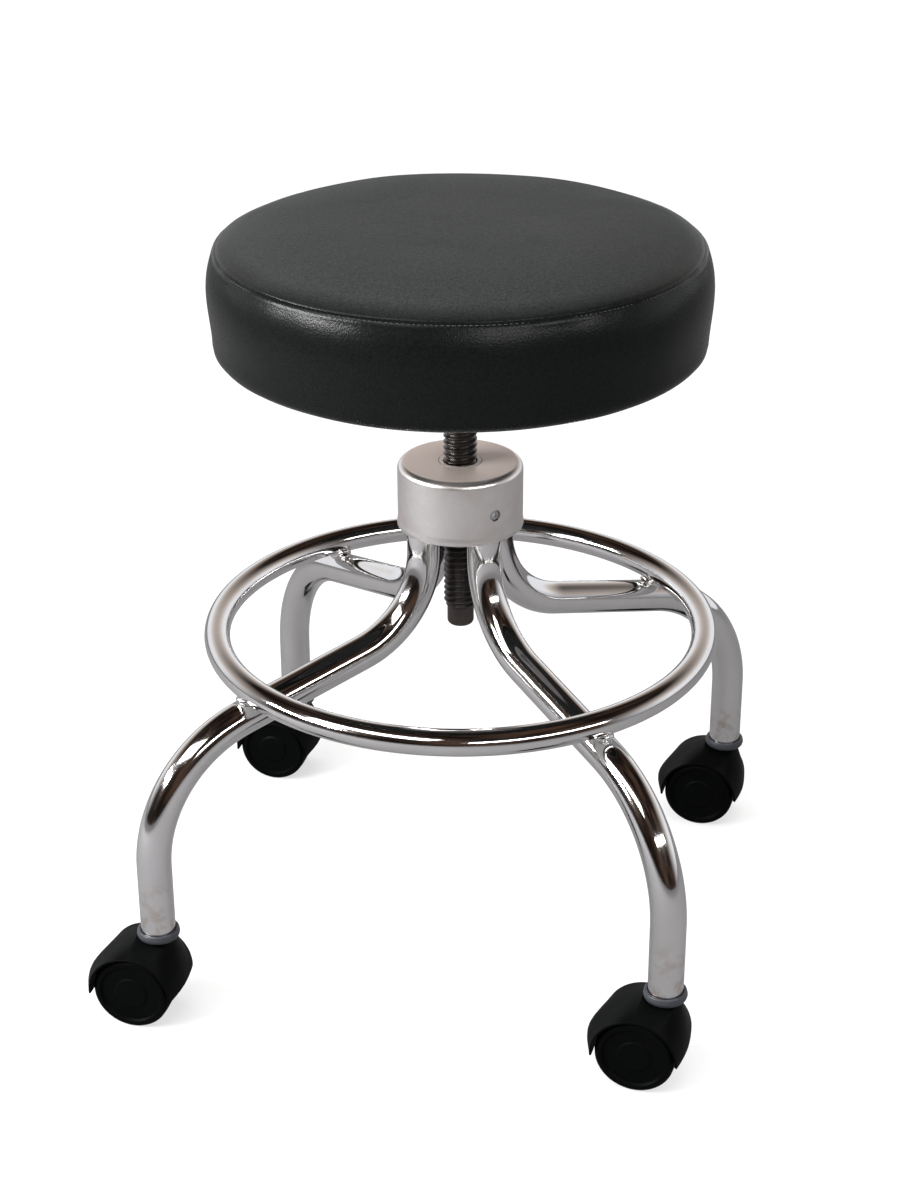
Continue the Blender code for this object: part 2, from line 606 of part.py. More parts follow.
def hood_outline(side_share):
    """Outline of the hood's slice at a share of its half width, from the wheels' centre: (x, height).

    The middle slice is the full shape. Towards both sides the slices draw in to an arch round the wheel.
    """
    lip = (-WHEEL_RADIUS - HOOD_LIP, HOOD_LIP_HEIGHT)
    crest = (CASTER_TRAIL - COLLAR_RADIUS, HOOD_TOP)
    shoulder = (CASTER_TRAIL + HOOD_NECK, HOOD_TOP)
    nose = (CASTER_TRAIL + HOOD_NOSE, HOOD_NOSE_HEIGHT)
    full = [lip]
    full += bezier(lip, (lip[0] - HOOD_BACK_BULGE, lip[1] + HOOD_BACK_RISE),
                   (crest[0] - HOOD_CREST_REACH, crest[1] - HOOD_CREST_DIP), crest, HOOD_STEPS)
    full.append(shoulder)
    full += bezier(shoulder, (shoulder[0] + HOOD_SHOULDER, HOOD_TOP), (nose[0], nose[1] + HOOD_NOSE_SWEEP),
                   nose, HOOD_STEPS)
    arch = WELL_RADIUS + HOOD_RIM
    kept = 1 - abs(side_share) ** HOOD_DOMING_POWER
    points = []
    for x, z in full:
        out = Vector((x, z - WHEEL_RADIUS))
        radius = arch + (out.length - arch) * kept
        out.normalize()
        points.append((radius * out.x, WHEEL_RADIUS + radius * out.y))
    points.append((CASTER_TRAIL + HOOD_CHIN, WHEEL_RADIUS))
    points += arc((0.0, WHEEL_RADIUS), WEB_LOW_RADIUS, -30, -180, 4)
    return points


def make_hood(side, parent, plastic):
    """Domed black shell over the wheels, with a web between them that holds the axle and the stem."""
    half = HOOD_WIDTH / 2
    bm = bmesh.new()
    slices = []
    for i in range(HOOD_SLICES + 1):
        share = sin(pi * (i / HOOD_SLICES - 0.5))
        slices.append([bm.verts.new((x - CASTER_TRAIL, share * half, z)) for x, z in hood_outline(share)])
    for first, second in zip(slices, slices[1:]):
        join_rings(bm, first, second)
    bm.faces.new(slices[0])
    bm.faces.new(slices[-1])
    hood = new_object(f"hood_{side}", bm, plastic, parent)
    for sign in (1, -1):
        middle = sign * (WEB_THICKNESS + HOOD_WIDTH) / 2
        drill(hood, WELL_RADIUS, HOOD_WIDTH, (-CASTER_TRAIL, middle, WHEEL_RADIUS), (0, 1, 0), WELL_FACETS)
    drill(hood, AXLE_RADIUS + TOUCH, 2 * HOOD_WIDTH, (-CASTER_TRAIL, 0.0, WHEEL_RADIUS), (0, 1, 0), PIN_FACETS)
    stem_low = COLLAR_BOTTOM - STEM_BELOW_COLLAR - TOUCH
    depth = 2 * (HOOD_TOP - stem_low)
    drill(hood, STEM_RADIUS + TURNING_PLAY, depth, (0.0, 0.0, stem_low + depth / 2), (0, 0, 1))


def make_wheel(name, parent, nylon, facing):
    """One wheel, spun round its own axle line. Facing is 1 or -1: where its outer face looks."""
    inner = WEB_THICKNESS / 2 + TURNING_PLAY
    outer = inner + WHEEL_WIDTH
    bore = AXLE_RADIUS + TURNING_PLAY
    r = WHEEL_ROUNDING
    rim = WHEEL_RADIUS - WHEEL_RIM_WIDTH
    small = WHEEL_INNER_ROUNDING
    outline = [(bore, inner), (WHEEL_RADIUS - small, inner), (WHEEL_RADIUS, inner + small),
               (WHEEL_RADIUS, outer - r), (WHEEL_RADIUS - r, outer),
               (rim, outer), (rim - WHEEL_DISH, outer - WHEEL_DISH), (bore, outer - WHEEL_DISH)]
    bm = spin_outline(outline, WHEEL_FACETS)
    tip = Matrix.Rotation(radians(-90 * facing), 3, "X")
    bmesh.ops.rotate(bm, verts=bm.verts, cent=(0, 0, 0), matrix=tip)
    wheel = new_object(name, bm, nylon, parent)
    wheel.location = (-CASTER_TRAIL, 0.0, WHEEL_RADIUS)
    return wheel


def make_caster(side, parent, plastic, zinc):
    make_hood(side, parent, plastic)
    half = AXLE_LENGTH / 2
    rod = [(0.0, -half), (AXLE_RADIUS, -half), (AXLE_RADIUS, half), (0.0, half)]
    axle = new_object(f"axle_{side}", spin_outline(rod, PIN_FACETS, closed=False), zinc, parent)
    axle.rotation_euler = (pi / 2, 0.0, 0.0)
    axle.location = (-CASTER_TRAIL, 0.0, WHEEL_RADIUS)
    make_wheel(f"wheel_{side}_a", parent, plastic, 1)
    make_wheel(f"wheel_{side}_b", parent, plastic, -1)


def main():
    clear_scene()
    vinyl = finish("black_vinyl", (0.035, 0.037, 0.038), 0.42, 0.0)
    foam = finish("seat_foam", (0.72, 0.66, 0.45), 0.95, 0.0)
    wood = finish("plywood", (0.50, 0.36, 0.20), 0.75, 0.0)
    cloth = finish("black_cloth", (0.02, 0.02, 0.02), 0.95, 0.0)
    chrome = finish("chrome", (0.80, 0.80, 0.81), 0.07, 1.0)
    satin = finish("satin_steel", (0.62, 0.59, 0.56), 0.30, 1.0)
    steel = finish("steel", (0.40, 0.40, 0.41), 0.40, 1.0)
    dark_steel = finish("dark_steel", (0.12, 0.12, 0.12), 0.40, 1.0)
    blackened = finish("blackened_thread", (0.03, 0.025, 0.022), 0.38, 0.6)
    grey_nylon = finish("grey_nylon", (0.30, 0.30, 0.30), 0.50, 0.0)
    collar = finish("blue_grey_plastic", (0.09, 0.10, 0.13), 0.35, 0.0)
    black = finish("black_nylon", (0.008, 0.009, 0.008), 0.35, 0.0)

    stool = new_empty("stool", (AXIS_X, AXIS_Y, 0.0))
    seat = new_empty("seat", (0, 0, 0), parent=stool)
    pin_height = make_seat(seat, vinyl, foam, wood, cloth, steel, dark_steel)
    make_lift_screw(seat, blackened, pin_height)
    set_screw_height = make_hub(stool, satin, steel, grey_nylon, dark_steel)
    make_foot_ring(stool, chrome)
    for side, angle in LEG_ANGLES.items():
        leg = make_leg(side, stool, chrome)
        if side == "front_right":
            place = Vector((LEG_CIRCLE_AT_HUB + LEG_RADIUS, 0.0, set_screw_height))
            drill(leg, SET_SCREW_RADIUS + TOUCH, 2 * LEG_RADIUS, place, (1, 0, 0))
        foot = new_empty(f"foot_{side}", (LEG_CIRCLE_AT_FLOOR * cos(radians(angle)),
                                          LEG_CIRCLE_AT_FLOOR * sin(radians(angle)), 0.0),
                         radians(angle), stool)
        make_socket(side, foot, collar, steel)
        swivel = new_empty(f"swivel_{side}", foot.location, radians(CASTER_HEADINGS[side] - 180.0), stool)
        make_caster(side, swivel, black, steel)


main()
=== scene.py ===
"""A padded rolling stool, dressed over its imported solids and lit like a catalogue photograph."""

import json
from math import atan2, ceil, cos, exp, pi, radians, sin, sqrt, tan, tanh

import bmesh
import bpy
from mathutils import Matrix, Vector, noise
from mathutils.bvhtree import BVHTree


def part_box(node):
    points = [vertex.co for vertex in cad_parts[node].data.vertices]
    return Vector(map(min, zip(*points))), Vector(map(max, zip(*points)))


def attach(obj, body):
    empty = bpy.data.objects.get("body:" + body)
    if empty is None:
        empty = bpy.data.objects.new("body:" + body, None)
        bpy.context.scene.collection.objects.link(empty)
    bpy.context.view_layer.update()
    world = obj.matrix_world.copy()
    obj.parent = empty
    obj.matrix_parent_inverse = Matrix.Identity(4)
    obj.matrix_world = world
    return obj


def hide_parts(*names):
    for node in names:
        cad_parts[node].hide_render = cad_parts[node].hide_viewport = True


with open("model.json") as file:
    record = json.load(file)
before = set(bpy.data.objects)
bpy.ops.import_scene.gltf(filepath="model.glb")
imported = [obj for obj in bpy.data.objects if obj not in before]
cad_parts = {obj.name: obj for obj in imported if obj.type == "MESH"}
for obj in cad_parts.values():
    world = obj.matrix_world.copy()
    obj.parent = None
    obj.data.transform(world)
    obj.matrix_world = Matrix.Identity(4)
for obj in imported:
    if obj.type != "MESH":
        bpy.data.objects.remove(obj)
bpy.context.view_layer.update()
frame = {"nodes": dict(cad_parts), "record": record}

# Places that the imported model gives
JOINTS = {joint["name"]: joint for joint in frame["record"]["behaviour"]["joints"]}
SIDES = ("front_right", "rear_right", "rear_left", "front_left")
AXIS = Vector((JOINTS["seat_turn"]["pos_m"][0], JOINTS["seat_turn"]["pos_m"][1], 0.0))
SEAT_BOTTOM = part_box("seat_cover")[0][2]
HUB_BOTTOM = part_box("hub_cover")[0][2]
HUB_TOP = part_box("hub_cover")[1][2]
BOSS_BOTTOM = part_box("seat_plate")[0][2]
SCREW_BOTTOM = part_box("lift_screw")[0][2]
SCREW_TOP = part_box("lift_screw")[1][2]

# Seat
SEAM_RADIUS = 0.1687
SEAM_HEIGHT = 0.5400
CROWN = 0.0165
CROWN_SHARPNESS = 5.0
SIDE_BULGE = 0.0120
SIDE_BULGE_REACH = 0.35
SIDE_LOW_RADIUS = 0.1728
SIDE_LOW_ROUNDING = 0.0142
SIDE_LOW_REACH = 0.6
HEM_RADIUS = 0.134
HEM_THICKNESS = 0.0015
BOARD_RADIUS = 0.1358
BOARD_SEAT_HEIGHT = SEAT_BOTTOM + 0.0141
SEAM_DEPTH = 0.0013
SEAM_WIDTH = 0.0009
SEAM_SHOULDER = 0.0002
SEAM_SHOULDER_AWAY = 0.0035
SEAM_SHOULDER_WIDTH = 0.002
SEAM_FINE_REACH = 0.006
SEAM_FINE_STEP = 0.0004
SKIN_STEP = 0.0040
SKIN_SEGMENTS = 288
PUCKER_HEIGHT = 0.00045
PUCKER_LENGTH = 0.016
PUCKER_REACH = 0.010
PUCKER_TOP_SHARE = 0.15
SOFT_WAVE_HEIGHT = 0.0005
SOFT_WAVE_LENGTH = 0.060
UNDERSIDE_FADE = 0.02
SWELL_INSET = 0.0020
SWELL_LIMIT = 0.0015
SWELL_TOP_SHARE = 0.18
SWELL_SIDE_SHARE = 0.45
SWELL_BLUR = 20
SWELL_VOXEL = 0.006
SWELL_PRESSURE = 4.0
SWELL_FRAMES = 20
STITCH_LENGTH = 0.0027
STITCH_PITCH = 0.0036
STITCH_RADIUS = 0.00026
STITCH_BELOW_SEAM = 0.0024
STITCH_DIP = 0.0007
STAPLE_COUNT = 44
STAPLE_RADIUS = 0.1305
STAPLE_LENGTH = 0.011
STAPLE_WIDTH = 0.0006
STAPLE_THICKNESS = 0.0005
STAPLE_BELOW_SEAT = 0.0010
STAPLE_SKEW = 0.25
STAPLE_ROUNDING = 0.00015

# Lift screw
THREAD_RADIUS = 0.0122
THREAD_DEPTH = 0.0020
THREAD_PITCH = 0.0046
THREAD_LOW_END = 0.2643
THREAD_SAMPLES = 12
THREAD_COLUMNS = 72
THREAD_ROOT_SHARE = 0.80
THREAD_FLANK_SHARE = 0.70
SPIGOT_ROUNDING = 0.0006
STUB_RADIUS = 0.0098
STUB_ROUNDING = 0.0032

# Hub
HUB_INNER_RADIUS = 0.0438
HUB_RADIUS = 0.0454
HUB_ROUNDING = 0.0054
HUB_LIP = 0.0004
HUB_LIP_HEIGHT = 0.0060
HUB_TOP_THICKNESS = 0.003
HUB_BORE = 0.0157
SET_SCREW_RADIUS = 0.004
SET_SCREW_ABOVE_BOTTOM = 0.0212
SET_SCREW_SUNK = 0.0009
SET_SCREW_LENGTH = 0.0085
SET_SCREW_KEY_WIDTH = 0.0042
SET_SCREW_KEY_DEPTH = 0.004
SCREW_CLEARANCE = 0.0003

# Legs and foot ring
LEG_RADIUS = 0.0125
LEG_WALL = 0.0015
LEG_CIRCLE_AT_HUB = 0.031
LEG_CIRCLE_AT_FLOOR = 0.2593
LEG_SLOPE = radians(13.67)
LEG_TOP_BEND = 0.070
LEG_FOOT_BEND = 0.100
LEG_END_HEIGHT = 0.070
LEG_END_ROUNDING = 0.0004
LEG_BEND_STEPS = 24
LEG_SIDES = 40
LEG_ANGLES = {"front_right": -45.0, "rear_right": 45.0, "rear_left": 135.0, "front_left": -135.0}
RING_RADIUS = 0.1797
RING_TUBE_RADIUS = 0.0095
RING_HEIGHT = 0.2471
RING_STEPS = 240
RING_SIDES = 32
RING_JOINT_ANGLE = 0.5 * pi
RING_JOINT_HEIGHT = 0.00035
RING_JOINT_LENGTH = 0.0016
TOUCH = 0.0003
WELD_RADIUS = 0.0021
WELD_REACH_ALONG = 0.0078
WELD_REACH_ACROSS = 0.0062
WELD_STEPS = 64
WELD_SIDES = 16
WELD_LUMPS = 0.16
WELD_LUMP_SCALE = 3.0
WELD_RIPPLE = 0.05
WELD_RIPPLES = 18

# Casters
COLLAR_RADIUS = 0.0153
COLLAR_BOTTOM = 0.068
COLLAR_TOP = 0.0745
COLLAR_ROUNDING = 0.0028
COLLAR_BORE = 0.0058
COLLAR_BELLY = 0.0002
COLLAR_EDGE = 0.0006
SLEEVE_RISE = 0.036
WHEEL_RADIUS = 0.0285
WHEEL_WIDTH = 0.018
WHEEL_INNER_ROUNDING = 0.0014
WHEEL_RIM_WIDTH = 0.0055
WHEEL_RIM_BEVEL = 0.0009
WHEEL_FACE_SUNK = 0.0018
WHEEL_BOSS_FOOT = 0.0125
WHEEL_BOSS_RADIUS = 0.0112
WHEEL_BOSS_HEIGHT = 0.0008
WHEEL_BOSS_CROWN = 0.0012
WHEEL_BORE_SHORT = 0.0001
CASTER_TRAIL = 0.0161
WEB_THICKNESS = 0.009
AXLE_RADIUS = 0.003
TURNING_PLAY = 0.0004
HOOD_WIDTH = 0.0504
HOOD_WELL_PLAY = 0.0010
HOOD_RIM = 0.0016
HOOD_DOMING_POWER = 1.8
HOOD_LIP = 0.0050
HOOD_LIP_HEIGHT = 0.0262
HOOD_BACK_BULGE = 0.0180
HOOD_BACK_RISE = 0.0100
HOOD_CREST_REACH = 0.0045
HOOD_CREST_DIP = 0.0040
HOOD_NECK = 0.0090
HOOD_SHOULDER = 0.0018
HOOD_NOSE = 0.0174
HOOD_NOSE_HEIGHT = 0.0275
HOOD_NOSE_SWEEP = 0.0180
HOOD_CHIN = 0.0137
HOOD_RIM_ROUNDING = 0.0005
HOOD_SLICES = 30
HOOD_STEPS = 22
HOOD_TOP_STEPS = 6
HOOD_TOP = 0.0677
WEB_LOW_RADIUS = 0.0135
WEB_LOW_START = -30
WEB_LOW_END = -180
WEB_LOW_STEPS = 12
STEM_RADIUS = 0.0055
STEM_POCKET_HEIGHT = 0.0562
STEM_POCKET_LENGTH = 0.04

# Camera of the photograph, seen from the stool's axis
CAMERA_TURN = radians(12.485)
CAMERA_SIDE = -0.0089
CAMERA_DISTANCE = 1.5568
CAMERA_HEIGHT = 1.0147
CAMERA_PITCH = radians(25.647)
CAMERA_ROLL = radians(-0.268)
CAMERA_LENS = 70.27
CAMERA_SENSOR = 36.0

# Finishes, where two colours stand for the ends of a mix
VINYL_GLOSS = 0.13
# How far above the seam the painted shade on the roundover gives way to the top's painted sheen; the
# roughness blends over the same reach.
SHEEN_BLEND_ABOVE_SEAM = 0.0065
TARNISH_HEIGHT = 0.125
# The top's lighter colours are painted sheen of the overhead light on the same black vinyl; the side's
# dark ones are its plain colour.
VINYL_SIDE = ((0.0030, 0.0037, 0.0035, 1), (0.0072, 0.0082, 0.0079, 1))
VINYL_TOP_PAINTED_SHEEN = ((0.017, 0.0188, 0.0182, 1), (0.036, 0.0385, 0.0378, 1))
THREAD_BLACK = ((0.022, 0.022, 0.022, 1), (0.06, 0.06, 0.06, 1))
CHROME_CLEAR = ((0.80, 0.795, 0.79, 1), (0.745, 0.74, 0.735, 1))
CHROME_TARNISH = (0.50, 0.38, 0.28, 1)
SATIN_TURNED = ((0.87, 0.845, 0.83, 1), (0.78, 0.735, 0.70, 1))
# The hub's flat top: a lighter, browner colour painted in as its sheen, standing in for its bright
# reflection.
SATIN_TOP_PAINTED_SHEEN = (0.86, 0.745, 0.68, 1)
SATIN_EDGE = (0.80, 0.79, 0.78, 1)
# Band below the hub's top where the painted sheen colour, the extra roughness and the lower metallic
# share fade in.
SHEEN_FACE_BELOW_TOP = (0.0003, 0.00005)
OXIDE_OILED = ((0.008, 0.006, 0.005, 1), (0.022, 0.015, 0.011, 1))
OXIDE_EDGE = (0.20, 0.17, 0.15, 1)
STUB_BARE = ((0.10, 0.082, 0.078, 1), (0.055, 0.043, 0.038, 1))
ZINC_DULL = ((0.47, 0.47, 0.48, 1), (0.36, 0.36, 0.37, 1))
ZINC_EDGE = (0.62, 0.62, 0.63, 1)
PLYWOOD_GRAIN = ((0.32, 0.20, 0.10, 1), (0.60, 0.44, 0.26, 1))
CLOTH_WEAVE = ((0.008, 0.008, 0.008, 1), (0.032, 0.032, 0.032, 1))
COLLAR_GREY = ((0.034, 0.036, 0.044), (0.066, 0.070, 0.082))
CASTER_BLACK = ((0.0010, 0.0013, 0.0012), (0.0022, 0.0025, 0.0023))

# Studio
FLOOR_SIZE = 6.0
FLOOR_BELOW = 0.0002
FLOOR_SEEN = (0.36, 0.36, 0.36)
FLOOR_MIRRORED = (0.210, 0.208, 0.214)
FLOOR_GLOW = 0.62
FILL_STRENGTH = 3.0
FILL_ANGLE = radians(80)
ROOM_DARK = (0.010, 0.007, 0.006)
ROOM_BROWN = (0.085, 0.050, 0.034)
ROOM_BACK = (0.93, 0.94, 0.98)
ROOM_BACK_HIGH = (0.90, 0.80, 0.73)
BACKDROP_FRONT_TO_BACK = (-0.30, 0.35)
BACKDROP_TOP_TO_LOW = (0.66, 0.26)
BACKDROP_WARMER_FROM = (0.20, 0.42)
ROOM_CLUTTER = (0.44, 0.66)
SOFT_BOXES = (
    # name, place, aimed at, width, height, watts
    ("high_left", (-0.8, -1.35, 1.80), (0, 0, 0.4), 1.9, 0.55, 20.0),
    ("side_left", (-1.33, -0.86, 0.94), (0, 0, 0.50), 1.05, 0.20, 42.0),
    ("side_right", (1.10, -1.06, 0.99), (0, 0, 0.50), 1.70, 0.14, 11.0),
)


# Mesh tools

def mesh_object(name, bm, material, sharp=35.0):
    """Close a bmesh into an object with smooth faces and crisp corners."""
    bmesh.ops.recalc_face_normals(bm, faces=bm.faces)
    mesh = bpy.data.meshes.new(name)
    bm.to_mesh(mesh)
    bm.free()
    mesh.shade_smooth()
    mesh.set_sharp_from_angle(angle=radians(sharp))
    mesh.materials.append(material)
    item = bpy.data.objects.new(name, mesh)
    bpy.context.collection.objects.link(item)
    return item


def dress(piece, body, slot, *nodes):
    """Let a piece ride on a body and stand for solids of the frame, which it hides; the finish slot is
    not used.
    """
    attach(piece, body)
    if nodes:
        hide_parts(*nodes)
    return piece


def spun(point, angle):
    """A profile's (radius, height) point, turned round the Z axis."""
    return Vector((point[0] * cos(angle), point[0] * sin(angle), point[1]))


def rounded(corners, steps):
    """Outline through (radius, height, rounding) corners, each rounded by an arc."""
    points = []
    count = len(corners)
    for i, corner in enumerate(corners):
        here = Vector(corner[:2])
        size = corner[2] if len(corner) > 2 else 0.0
        before = Vector(corners[i - 1][:2]) - here
        after = Vector(corners[(i + 1) % count][:2]) - here
        if size == 0.0 or before.length == 0.0 or after.length == 0.0:
            points.append(tuple(here))
            continue
        half = before.angle(after) / 2
        reach = min(size / tan(half), 0.49 * before.length, 0.49 * after.length)
        middle = here + (before.normalized() + after.normalized()).normalized() * (reach / cos(half))
        first = here + before.normalized() * reach - middle
        last = here + after.normalized() * reach - middle
        swing = first.angle_signed(last)
        for k in range(steps + 1):
            spot = first.copy()
            spot.rotate(Matrix.Rotation(-swing * k / steps, 2))
            points.append(tuple(middle + spot))
    return points


def spin(outline, segments):
    """Closed solid from an outline of (radius, height) points turned round the Z axis."""
    bm = bmesh.new()
    rings = []
    for radius, height in outline:
        if radius < 1e-7:
            rings.append([bm.verts.new((0.0, 0.0, height))])
            continue
        ring = []
        for i in range(segments):
            ring.append(bm.verts.new(spun((radius, height), 2 * pi * i / segments)))
        rings.append(ring)
    ends_on_axis = len(rings[0]) == 1 and len(rings[-1]) == 1
    pairs = list(zip(rings, rings[1:]))
    if not ends_on_axis:
        pairs.append((rings[-1], rings[0]))
    for low, high in pairs:
        for i in range(segments):
            j = (i + 1) % segments
            corners = [low[i % len(low)], low[j % len(low)], high[j % len(high)], high[i % len(high)]]
            face = list(dict.fromkeys(corners))
            if len(face) > 2:
                bm.faces.new(face)
    return bm


def turned(name, outline, material, place=AXIS, segments=96):
    item = mesh_object(name, spin(outline, segments), material)
    item.location = place
    return item


def sweep(rings, closed=False):
    """Skin over rings of points that all have the same count."""
    bm = bmesh.new()
    loops = [[bm.verts.new(point) for point in ring] for ring in rings]
    count = len(loops[0])
    pairs = list(zip(loops, loops[1:]))
    if closed:
        pairs.append((loops[-1], loops[0]))
    for first, second in pairs:
        for i in range(count):
            j = (i + 1) % count
            bm.faces.new((first[i], first[j], second[j], second[i]))
    if not closed:
        bm.faces.new(loops[0])
        bm.faces.new(loops[-1])
    return bm


def circle(centre, across, up, radius, count):
    return [centre + radius * (cos(2 * pi * i / count) * across + sin(2 * pi * i / count) * up)
            for i in range(count)]


def cut(item, cutter):
    """Take a cutter out of a piece and drop the cutter."""
    hole = item.modifiers.new("hole", "BOOLEAN")
    hole.operation = "DIFFERENCE"
    hole.solver = "MANIFOLD"
    hole.object = cutter
    settle(item)
    bpy.data.objects.remove(cutter, do_unlink=True)


def settle(item):
    """Give a piece the mesh that its modifiers make, and drop them."""
    bpy.context.view_layer.update()
    graph = bpy.context.evaluated_depsgraph_get()
    mesh = bpy.data.meshes.new_from_object(item.evaluated_get(graph))
    item.modifiers.clear()
    item.data = mesh


def rod(name, radius, length, centre, direction, segments=48):
    """A plain cylinder to cut with."""
    bm = bmesh.new()
    bmesh.ops.create_cone(bm, cap_ends=True, segments=segments, radius1=radius, radius2=radius,
                          depth=length)
    item = bpy.data.objects.new(name, bpy.data.meshes.new(name))
    bm.to_mesh(item.data)
    bm.free()
    bpy.context.collection.objects.link(item)
    turn = Vector(direction).to_track_quat("Z", "Y").to_matrix().to_4x4()
    item.matrix_world = Matrix.Translation(centre) @ turn
    return item


# Shader tools

def add(tree, kind, inputs=None, **settings):
    """Add a node, set its properties and fill or link its inputs."""
    node = tree.nodes.new(kind)
    for key, value in settings.items():
        setattr(node, key, value)
    for key, value in (inputs or {}).items():
        if isinstance(value, bpy.types.NodeSocket):
            tree.links.new(value, node.inputs[key])
        else:
            node.inputs[key].default_value = value
    return node


def new_group(name, inputs, outputs):
    """A shader node group with named sockets: (name, kind, default)."""
    tree = bpy.data.node_groups.new(name, "ShaderNodeTree")
    for label, kind, default in inputs:
        socket = tree.interface.new_socket(label, in_out="INPUT", socket_type=kind)
        socket.default_value = default
    for label, kind in outputs:
        tree.interface.new_socket(label, in_out="OUTPUT", socket_type=kind)
    start = tree.nodes.new("NodeGroupInput")
    end = tree.nodes.new("NodeGroupOutput")
    return tree, start, end


def math_node(tree, operation, a, b=0.0):
    node = tree.nodes.new("ShaderNodeMath")
    node.operation = operation
    for socket, value in zip(node.inputs, (a, b)):
        if isinstance(value, bpy.types.NodeSocket):
            tree.links.new(value, socket)
        else:
            socket.default_value = value
    return node.outputs[0]


def spread(tree, value, low, high, to_low=0.0, to_high=1.0):
    """Map a value from one range to another."""
    node = add(tree, "ShaderNodeMapRange", {"Value": value, "From Min": low, "From Max": high,
                                            "To Min": to_low, "To Max": to_high})
    return node.outputs["Result"]


def blend_colours(tree, mask, first, second):
    node = tree.nodes.new("ShaderNodeMix")
    node.data_type = "RGBA"
    for socket, value in ((node.inputs[0], mask), (node.inputs[6], first), (node.inputs[7], second)):
        if isinstance(value, bpy.types.NodeSocket):
            tree.links.new(value, socket)
        else:
            socket.default_value = value
    return node.outputs[2]


def own_place(tree):
    """Coordinates that go with the piece."""
    return add(tree, "ShaderNodeTexCoord").outputs["Object"]


def own_height(tree, place):
    return add(tree, "ShaderNodeSeparateXYZ", {"Vector": place}).outputs[2]


def mottle(tree, place, scale, detail, roughness=0.5, distortion=0.0):
    """Cloudy noise over the surface."""
    node = add(tree, "ShaderNodeTexNoise", {"Vector": place, "Scale": scale, "Detail": detail,
                                            "Roughness": roughness, "Distortion": distortion})
    return node.outputs["Fac"]


def scaled(tree, value, factor):
    return math_node(tree, "MULTIPLY", value, factor)


def feed(tree, shader, socket, value):
    tree.links.new(value, shader.inputs[socket])


def hide_grain_group():
    """Fine pebbled skin of upholstery vinyl, with slow shifts of tone."""
    tree, start, end = new_group("hide_grain", [("Cells per Metre", "NodeSocketFloat", 700.0)],
                                 [("Height", "NodeSocketFloat"), ("Tone", "NodeSocketFloat")])
    place = own_place(tree)
    warp = add(tree, "ShaderNodeTexNoise", {"Vector": place, "Scale": 180.0, "Detail": 2.0})
    bent = add(tree, "ShaderNodeVectorMath", {0: warp.outputs["Color"], 1: (0.0022, 0.0022, 0.0022)},
               operation="MULTIPLY")
    moved = add(tree, "ShaderNodeVectorMath", {0: place, 1: bent.outputs[0]}, operation="ADD")
    cells = add(tree, "ShaderNodeTexVoronoi", {"Vector": moved.outputs[0], "Scale": start.outputs[0]},
                feature="SMOOTH_F1")
    pores = mottle(tree, place, 2600.0, 3.0)
    pebbles = math_node(tree, "SUBTRACT", 1.0, cells.outputs["Distance"])
    feed(tree, end, "Height", math_node(tree, "ADD", pebbles, scaled(tree, pores, 0.3)))
    feed(tree, end, "Tone", mottle(tree, place, 14.0, 4.0, 0.6))
    return tree


def handling_group():
    """Smudges and fine dust: a soft mask that raises roughness here and there."""
    tree, start, end = new_group("handling_marks", [("Scale", "NodeSocketFloat", 20.0)],
                                 [("Mask", "NodeSocketFloat"), ("Specks", "NodeSocketFloat")])
    place = own_place(tree)
    clouds = mottle(tree, place, start.outputs[0], 5.0, 0.62, 0.8)
    grit = mottle(tree, place, 900.0, 1.0)
    feed(tree, end, "Mask", spread(tree, clouds, 0.38, 0.72))
    feed(tree, end, "Specks", spread(tree, grit, 0.68, 0.76))
    return tree


def lathe_group():
    """Fine rings that a lathe leaves, round the Z axis of the piece."""
    tree, start, end = new_group("lathe_rings", [("Rings per Metre", "NodeSocketFloat", 2500.0)],
                                 [("Height", "NodeSocketFloat"), ("Tone", "NodeSocketFloat")])
    place = own_place(tree)
    parts = add(tree, "ShaderNodeSeparateXYZ", {"Vector": place})
    square = math_node(tree, "ADD", math_node(tree, "MULTIPLY", parts.outputs[0], parts.outputs[0]),
                       math_node(tree, "MULTIPLY", parts.outputs[1], parts.outputs[1]))
    radius = math_node(tree, "SQRT", square)
    along = math_node(tree, "ADD", radius, parts.outputs[2])
    angle = math_node(tree, "ARCTAN2", parts.outputs[1], parts.outputs[0])
    track = add(tree, "ShaderNodeCombineXYZ", {"X": along, "Y": scaled(tree, angle, 0.0015)})
    lines = mottle(tree, track.outputs[0], start.outputs[0], 2.0, 0.7)
    feed(tree, end, "Height", lines)
    feed(tree, end, "Tone", spread(tree, lines, 0.3, 0.7))
    return tree


def edge_group():
    """Worn convex edges, broken up by noise."""
    tree, start, end = new_group("edge_wear", [("Amount", "NodeSocketFloat", 0.5)],
                                 [("Mask", "NodeSocketFloat")])
    bend = add(tree, "ShaderNodeNewGeometry").outputs["Pointiness"]
    sharp = spread(tree, bend, 0.515, 0.60)
    place = own_place(tree)
    patches = spread(tree, mottle(tree, place, 160.0, 4.0), 0.42, 0.6)
    feed(tree, end, "Mask", scaled(tree, scaled(tree, sharp, patches), start.outputs[0]))
    return tree


GRAIN = hide_grain_group()
HANDLING = handling_group()
LATHE = lathe_group()
EDGES = edge_group()


def new_material(name, colour, roughness, metallic=0.0):
    """A material with its Principled shader, ready for more nodes."""
    material = bpy.data.materials.new(name)
    material.use_nodes = True
    tree = material.node_tree
    shader = tree.nodes["Principled BSDF"]
    shader.inputs["Base Color"].default_value = (*colour, 1.0)
    shader.inputs["Roughness"].default_value = roughness
    shader.inputs["Metallic"].default_value = metallic
    return material, tree, shader


def use_group(tree, group, **inputs):
    node = tree.nodes.new("ShaderNodeGroup")
    node.node_tree = group
    for key, value in inputs.items():
        node.inputs[key.replace("_", " ")].default_value = value
    return node


def bump(tree, shader, height, distance, strength=1.0):
    node = add(tree, "ShaderNodeBump", {"Height": height, "Distance": distance, "Strength": strength})
    tree.links.new(node.outputs["Normal"], shader.inputs["Normal"])


